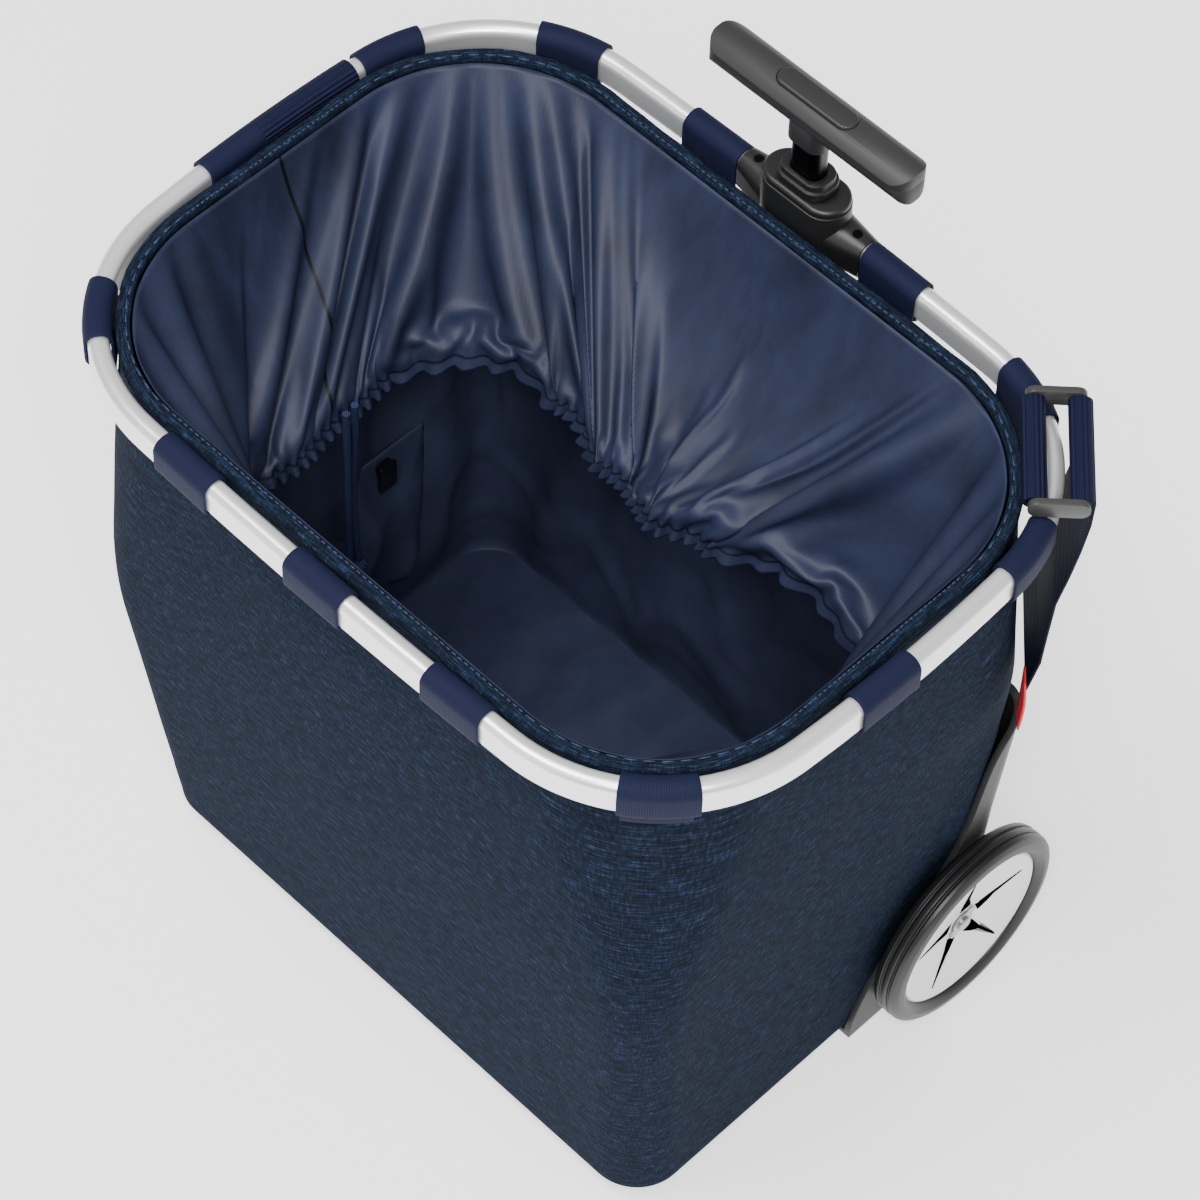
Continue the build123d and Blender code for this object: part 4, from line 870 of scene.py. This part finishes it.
cloth.settings.shear_stiffness = 5
cloth.settings.bending_stiffness = 0.6
cloth.settings.vertex_group_mass = "sewn"
cloth.collision_settings.use_collision = False
cloth.point_cache.frame_start = 1
cloth.point_cache.frame_end = COLLAR_FRAMES
for step in range(1, COLLAR_FRAMES + 1):
    bpy.context.scene.frame_set(step)
graph = bpy.context.evaluated_depsgraph_get()
settled = bpy.data.meshes.new_from_object(collar.evaluated_get(graph), depsgraph=graph)
collar.modifiers.clear()
collar.shape_key_clear()
collar.animation_data_clear()
collar.data = settled
bpy.context.scene.frame_set(1)
frill = bmesh.new()
frill.from_mesh(collar.data)
frill.verts.ensure_lookup_table()
frill_uv = frill.loops.layers.uv.active
last_row = frill.verts[(COLLAR_ROWS - 1) * COLLAR_COLUMNS:COLLAR_ROWS * COLLAR_COLUMNS]
row_before = last_row
for step in range(1, FRILL_ROWS + 1):
    made_row = []
    for i, edge_vertex in enumerate(last_row):
        along = (last_row[(i + 4) % COLLAR_COLUMNS].co - last_row[i - 4].co).normalized()
        inwards = Vector((-along.y, along.x, 0))
        fallen = Vector((0, 0, -0.85)) + inwards * 0.5
        beat = math.sin(i * math.pi / 2 + 0.8 * noise.noise(Vector((i * 0.17, 1.0, 0))))
        sway = inwards * (0.0011 * step / FRILL_ROWS * beat) + along * (0.0005 * step * beat)
        made_row.append(frill.verts.new(edge_vertex.co + fallen * (FRILL_DEEP * step / FRILL_ROWS) + sway))
    for i in range(COLLAR_COLUMNS):
        k = (i + 1) % COLLAR_COLUMNS
        face = frill.faces.new((row_before[i], row_before[k], made_row[k], made_row[i]))
        corners = ((i, step - 1), (i + 1, step - 1), (i + 1, step), (i, step))
        for loop, (column, deep) in zip(face.loops, corners):
            loop[frill_uv].uv = (column / COLLAR_COLUMNS * TOP_RUN, -0.0016 * deep)
    row_before = made_row
frill.to_mesh(collar.data)
frill.free()
# a crease that would come through the tub's wall lies against it instead
for vertex in collar.data.vertices:
    half_x, front, back, radius = tub_size(min(vertex.co.z, TUB_LEVELS[-1]))
    middle_y = (front + back) / 2
    flat = Vector((max(abs(vertex.co.x) - (half_x - radius), 0), 0))
    flat.y = max(abs(vertex.co.y - middle_y) - ((back - front) / 2 - radius), 0)
    if flat.length > radius - COLLAR_LIMIT:
        drawn = flat * ((radius - COLLAR_LIMIT) / flat.length)
        vertex.co.x -= math.copysign(flat.x - drawn.x, vertex.co.x)
        vertex.co.y -= math.copysign(flat.y - drawn.y, vertex.co.y - middle_y)
edit_all(collar, bpy.ops.mesh.normals_make_consistent, inside=False)
apply_modifier(collar, "SUBSURF", levels=1, render_levels=1)
apply_modifier(collar, "SOLIDIFY", thickness=0.0005, offset=0.0)
collar.data.shade_smooth()

# the collar's closing seam and the cord channel's stitching show as dark lines
seam_column = min(range(COLLAR_COLUMNS), key=lambda i: (top_line[i][0].xy - Vector((-0.19, SEAM_Y))).length)
seamed = satin.copy()
seamed.name = "navy_collar_satin"
seam_uv = add_node(seamed, "ShaderNodeUVMap", uv_map="cloth")
seam_split = add_node(seamed, "ShaderNodeSeparateXYZ", {"Vector": seam_uv})
seam_off = add_node(seamed, "ShaderNodeMath", {
    0: seam_split.outputs["X"], 1: seam_column / COLLAR_COLUMNS * TOP_RUN,
}, operation="SUBTRACT")
seam_gap = add_node(seamed, "ShaderNodeMath", {0: seam_off}, operation="ABSOLUTE")
seam_line = add_node(seamed, "ShaderNodeMapRange", {
    "Value": seam_gap, "From Min": 0.0009, "From Max": 0.0018, "To Min": 1.0, "To Max": 0.0,
})
channel = add_node(seamed, "ShaderNodeMath", {0: seam_split.outputs["Y"]}, operation="ABSOLUTE")
channel_line = add_node(seamed, "ShaderNodeMapRange", {
    "Value": channel, "From Min": 0.0003, "From Max": 0.0009, "To Min": 0.75, "To Max": 0.0,
})
seam_both = add_node(seamed, "ShaderNodeMath", {
    0: seam_line, 1: channel_line,
}, operation="MAXIMUM")
# a Mix node's colours are its inputs 6 and 7, and its output 2
seam_mix = add_node(seamed, "ShaderNodeMix", {
    0: seam_both, 6: node_of(seamed, "ShaderNodeValToRGB"), 7: linear("#06070C"),
}, data_type="RGBA")
feed(seamed, "Base Color", seam_mix, 2)
finish_piece(collar, ["gathered_collar"], seamed)

# ----------------------------------------
# Pocket: a flat satin pocket sewn on the left wall, with a zip across its top and
# a metal slider with a long pull.
pocket_low, pocket_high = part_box("inner_pocket")
POCKET_STEPS = 44
pocket_points, pocket_uvs = [], []
for j in range(POCKET_STEPS + 1):
    for i in range(POCKET_STEPS + 1):
        across, up = i / POCKET_STEPS, j / POCKET_STEPS
        y = pocket_low.y + (pocket_high.y - pocket_low.y) * across
        z = pocket_low.z + (pocket_high.z - pocket_low.z) * up
        edge = min(across, 1 - across, up, (1 - up) * 0.45, 0.16) / 0.16
        fold = crease((y, z * 0.6, 3.0), 0.05, 5.0)
        wave = 0.0020 + 0.024 * max(0.0, fold - 0.55) + 0.003 * cloth_noise((y, z, 0), 0.03, 6.0)
        pocket_points.append((pocket_low.x + 0.0012 + max(0.0, wave) * edge, y, z))
        pocket_uvs.append((y, z))
pocket_faces = grid_faces(POCKET_STEPS + 1, POCKET_STEPS + 1)
pocket = mesh_piece("satin_zip_pocket", pocket_points, pocket_faces, pocket_uvs)
apply_modifier(pocket, "SOLIDIFY", thickness=0.0006, offset=0.0)
# painted light: the pocket gets the lining's paler copy of the satin
finish_piece(pocket, ["inner_pocket"], lightened_lining)
gunmetal = new_material("gunmetal_zinc_die_casting", "#5B5A52", 0.35, 1.0)
finish_piece(softened("zip_slider", 0.0004), ["zip_slider"], gunmetal)

# ----------------------------------------
# Carrying straps: wide ribbed polyester webbing. The left one is sewn round the
# tube. The right one runs round a grey plastic slider and is sewn low on the tub.
STRAP_WIDE, STRAP_RIB = 0.057, 0.0021
ribbed = webbing.copy()
ribbed.name = "navy_ribbed_strap"
fine_bump = node_of(ribbed, "ShaderNodeBump")
rib_turns = add_node(ribbed, "ShaderNodeMath", {
    0: node_of(ribbed, "ShaderNodeSeparateXYZ").outputs["Y"], 1: 2 * math.pi / STRAP_RIB,
}, operation="MULTIPLY")
rib_wave = add_node(ribbed, "ShaderNodeMath", {0: rib_turns}, operation="SINE")
rib_bump = add_node(ribbed, "ShaderNodeBump", {
    "Height": rib_wave, "Strength": 0.9, "Distance": 0.0004,
})
ribbed.node_tree.links.new(rib_bump.outputs[0], fine_bump.inputs["Normal"])

left_low, left_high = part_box("left_strap")
left_middle = ring_distance(Vector((-rim_half_x, (left_low.y + left_high.y) / 2, 0)))
# over the tube as a loop goes, then down outside it and leaning in to the tub
left_profile = wrap_profile(0.006)[:-9]
drop = rim_z - left_low.z
for i in range(1, 13):
    share = i / 12
    lean = -0.0135 * share ** 0.8
    left_profile.append((TUBE_HALF_DEPTH + WRAP_CLEAR + lean, -0.004 - (drop - 0.004) * share))
left_strap, left_run = band("left_carrying_strap", left_profile, ring_frames(left_middle, STRAP_WIDE, 22))
finish_piece(left_strap, ["left_strap"], ribbed)

slider_low, slider_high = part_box("slider_buckle")
STRAP_TURN = math.radians(43)
strap_way = Vector((math.cos(STRAP_TURN), math.sin(STRAP_TURN), 0))
strap_along = Vector((-strap_way.y, strap_way.x, 0))
strap_centre = Vector((CORNER_X, CORNER_Y + rim_centre_y, 0))
BAR_REACHES, BAR_RADIUS, WRAP_WIDE = (0.081, 0.102), 0.0026, 0.0050
bar_z = (slider_low.z + slider_high.z) / 2
wrap_r = BAR_RADIUS + WEB_THICK / 2 + 0.0002
slider_grey = new_material("grey_acetal_slider", "#343433", 0.4)
finish_piece(softened("slider_buckle", 0.0007), ["slider_buckle"], slider_grey)
# from its sewn end low on the tub, up and round the slider's outer bar
outer_wrap = [
    (0.0905, 0.262), (0.0948, 0.284), (0.0958, 0.305), (0.0972, 0.330), (0.1010, 0.350),
    (0.1042, 0.370), (BAR_REACHES[1] + WRAP_WIDE - 0.0004, 0.390),
]
for i in range(13):
    angle = math.radians(250 * i / 12)
    outer_wrap.append((BAR_REACHES[1] + WRAP_WIDE * math.cos(angle), bar_z + wrap_r * math.sin(angle)))
inner_wrap = []
for i in range(17):
    angle = math.radians(-80 + 330 * i / 16)
    inner_wrap.append((BAR_REACHES[0] + WRAP_WIDE * math.cos(angle), bar_z + wrap_r * math.sin(angle)))
strap_frames = []
for j in range(21):
    across = STRAP_WIDE * (j / 20 - 0.5)
    strap_frames.append((strap_centre + strap_along * across, strap_way, across))
outer_band, outer_run = band("slider_strap_outer", outer_wrap, strap_frames)
inner_band, inner_run = band("slider_strap_inner", inner_wrap, strap_frames)
use(outer_band)
inner_band.select_set(True)
bpy.ops.object.join()
outer_band.name = "slider_carrying_strap"
finish_piece(outer_band, ["slider_strap"], ribbed)

tag_low, tag_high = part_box("side_tag")
red_tag = new_material("red_woven_tag", "#C8202B", 0.6)
tag_centre = Vector(((tag_low.x + tag_high.x) / 2, (tag_low.y + tag_high.y) / 2, 0))
TAG_HALF, TAG_STEPS, TAG_COLUMNS = 0.0055, 10, 5
tag_points, tag_uvs = [], []
for j in range(TAG_STEPS + 1):
    z = tag_low.z + (tag_high.z - tag_low.z) * j / TAG_STEPS
    for i in range(TAG_COLUMNS):
        across = (i / 4 - 0.5) * 2 * TAG_HALF
        curl = 0.0012 * math.sin(math.pi * j / TAG_STEPS) * (i / 4)
        tag_points.append(tag_centre - strap_along * across + strap_way * curl + Vector((0, 0, z)))
        tag_uvs.append((across, z))
tag = mesh_piece("red_side_tag", tag_points, grid_faces(TAG_STEPS + 1, TAG_COLUMNS), tag_uvs)
apply_modifier(tag, "SOLIDIFY", thickness=0.0010, offset=0.0)
finish_piece(tag, ["side_tag"], red_tag)

# ----------------------------------------
# Carriage: one thick grey polypropylene moulding, finely grained, that cups the
# tub's lower back and carries the pole's foot, the stub axles and two front feet.
carriage_grey = new_material("grey_grained_polypropylene", "#212122", 0.5)
mould_grain(carriage_grey, 1300.0, 2.0, 0.3, 0.00012)
finish_piece(softened("carriage", 0.0008), ["carriage"], carriage_grey)
finish_piece(softened("pole_foot", 0.0012), ["pole_foot"], carriage_grey)
foot_rubber = new_material("black_rubber_feet", "#1B1B1C", 0.8)
finish_piece(softened("front_feet", 0.0012), ["front_feet"], foot_rubber)

# ----------------------------------------
# Wheels: a soft dark tyre with two grooves on a dished white nylon disc, held on
# its stub axle by a washer and an eared clip.
tyre_rubber = new_material("dark_grey_tyre_rubber", "#151516", 0.42)
disc_nylon = new_material("white_moulded_nylon", "#E6E6E4", 0.32)
bush_plastic = new_material("acetal_bush", "#3A3A3C", 0.4)
# painted shade: the slits' far side is in shade, so they are filled with an almost black surface without shine
slit_shade = new_material("painted_slit_shade", "#050505", 0.9, Specular_IOR_Level=0.0)
SLITS, SLIT_STEPS, SLIT_IN, SLIT_OUT, DISC_EDGE = 5, 16, 0.0105, 0.0390, 0.0426
disc_low, disc_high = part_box("wheel_disc_right")
wheel_middle = (disc_low + disc_high) / 2
hub_face, rim_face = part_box("wheel_bush_right")[1].x + 0.0005, disc_high.x - 0.0003
for side in ("left", "right"):
    finish_piece(softened(f"tyre_{side}", 0.0007, 3), [f"tyre_{side}"], tyre_rubber)
    finish_piece(softened(f"wheel_disc_{side}", 0.0005), [f"wheel_disc_{side}"], disc_nylon)
    paint(bush_plastic, f"wheel_bush_{side}")
    way = 1 if side == "right" else -1
    slit_points, slit_faces = [], []
    for slit in range(SLITS):
        turn = math.radians(90 + slit * 360 / SLITS)
        along = Vector((0, math.cos(turn), math.sin(turn)))
        across = Vector((0, -math.sin(turn), math.cos(turn)))
        base = len(slit_points)
        for step in range(SLIT_STEPS + 1):
            share = step / SLIT_STEPS
            reach = SLIT_IN + (SLIT_OUT - SLIT_IN) * share
            wide = 0.0007 + 0.0042 * max(0.0, 1 - share / 0.34) ** 0.5
            lip = 0.0009 * (1 - share)
            face = hub_face + (rim_face - hub_face) * (reach - SLIT_IN) / (DISC_EDGE - SLIT_IN)
            for edge in (-wide, lip + wide * 0.35):
                for depth in (0.0, 0.0016):
                    at = wheel_middle + along * reach + across * edge
                    slit_points.append((way * (face + 0.00015 - depth), at.y, at.z))
        for step in range(SLIT_STEPS):
            a = base + step * 4
            slit_faces += [(a, a + 4, a + 6, a + 2), (a + 2, a + 6, a + 7, a + 3),
                           (a + 3, a + 7, a + 5, a + 1), (a + 1, a + 5, a + 4, a)]
        slit_faces += [(base, base + 2, base + 3, base + 1)]
        end = base + SLIT_STEPS * 4
        slit_faces += [(end, end + 1, end + 3, end + 2)]
    slits = mesh_piece(f"wheel_slit_shade_{side}", slit_points, slit_faces)
    edit_all(slits, bpy.ops.mesh.normals_make_consistent, inside=False)
    slits.data.shade_flat()
    # painted shade: each slit is filled with a near black box
    slits.data.materials.append(slit_shade)
    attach(slits, f"wheel_{side}")
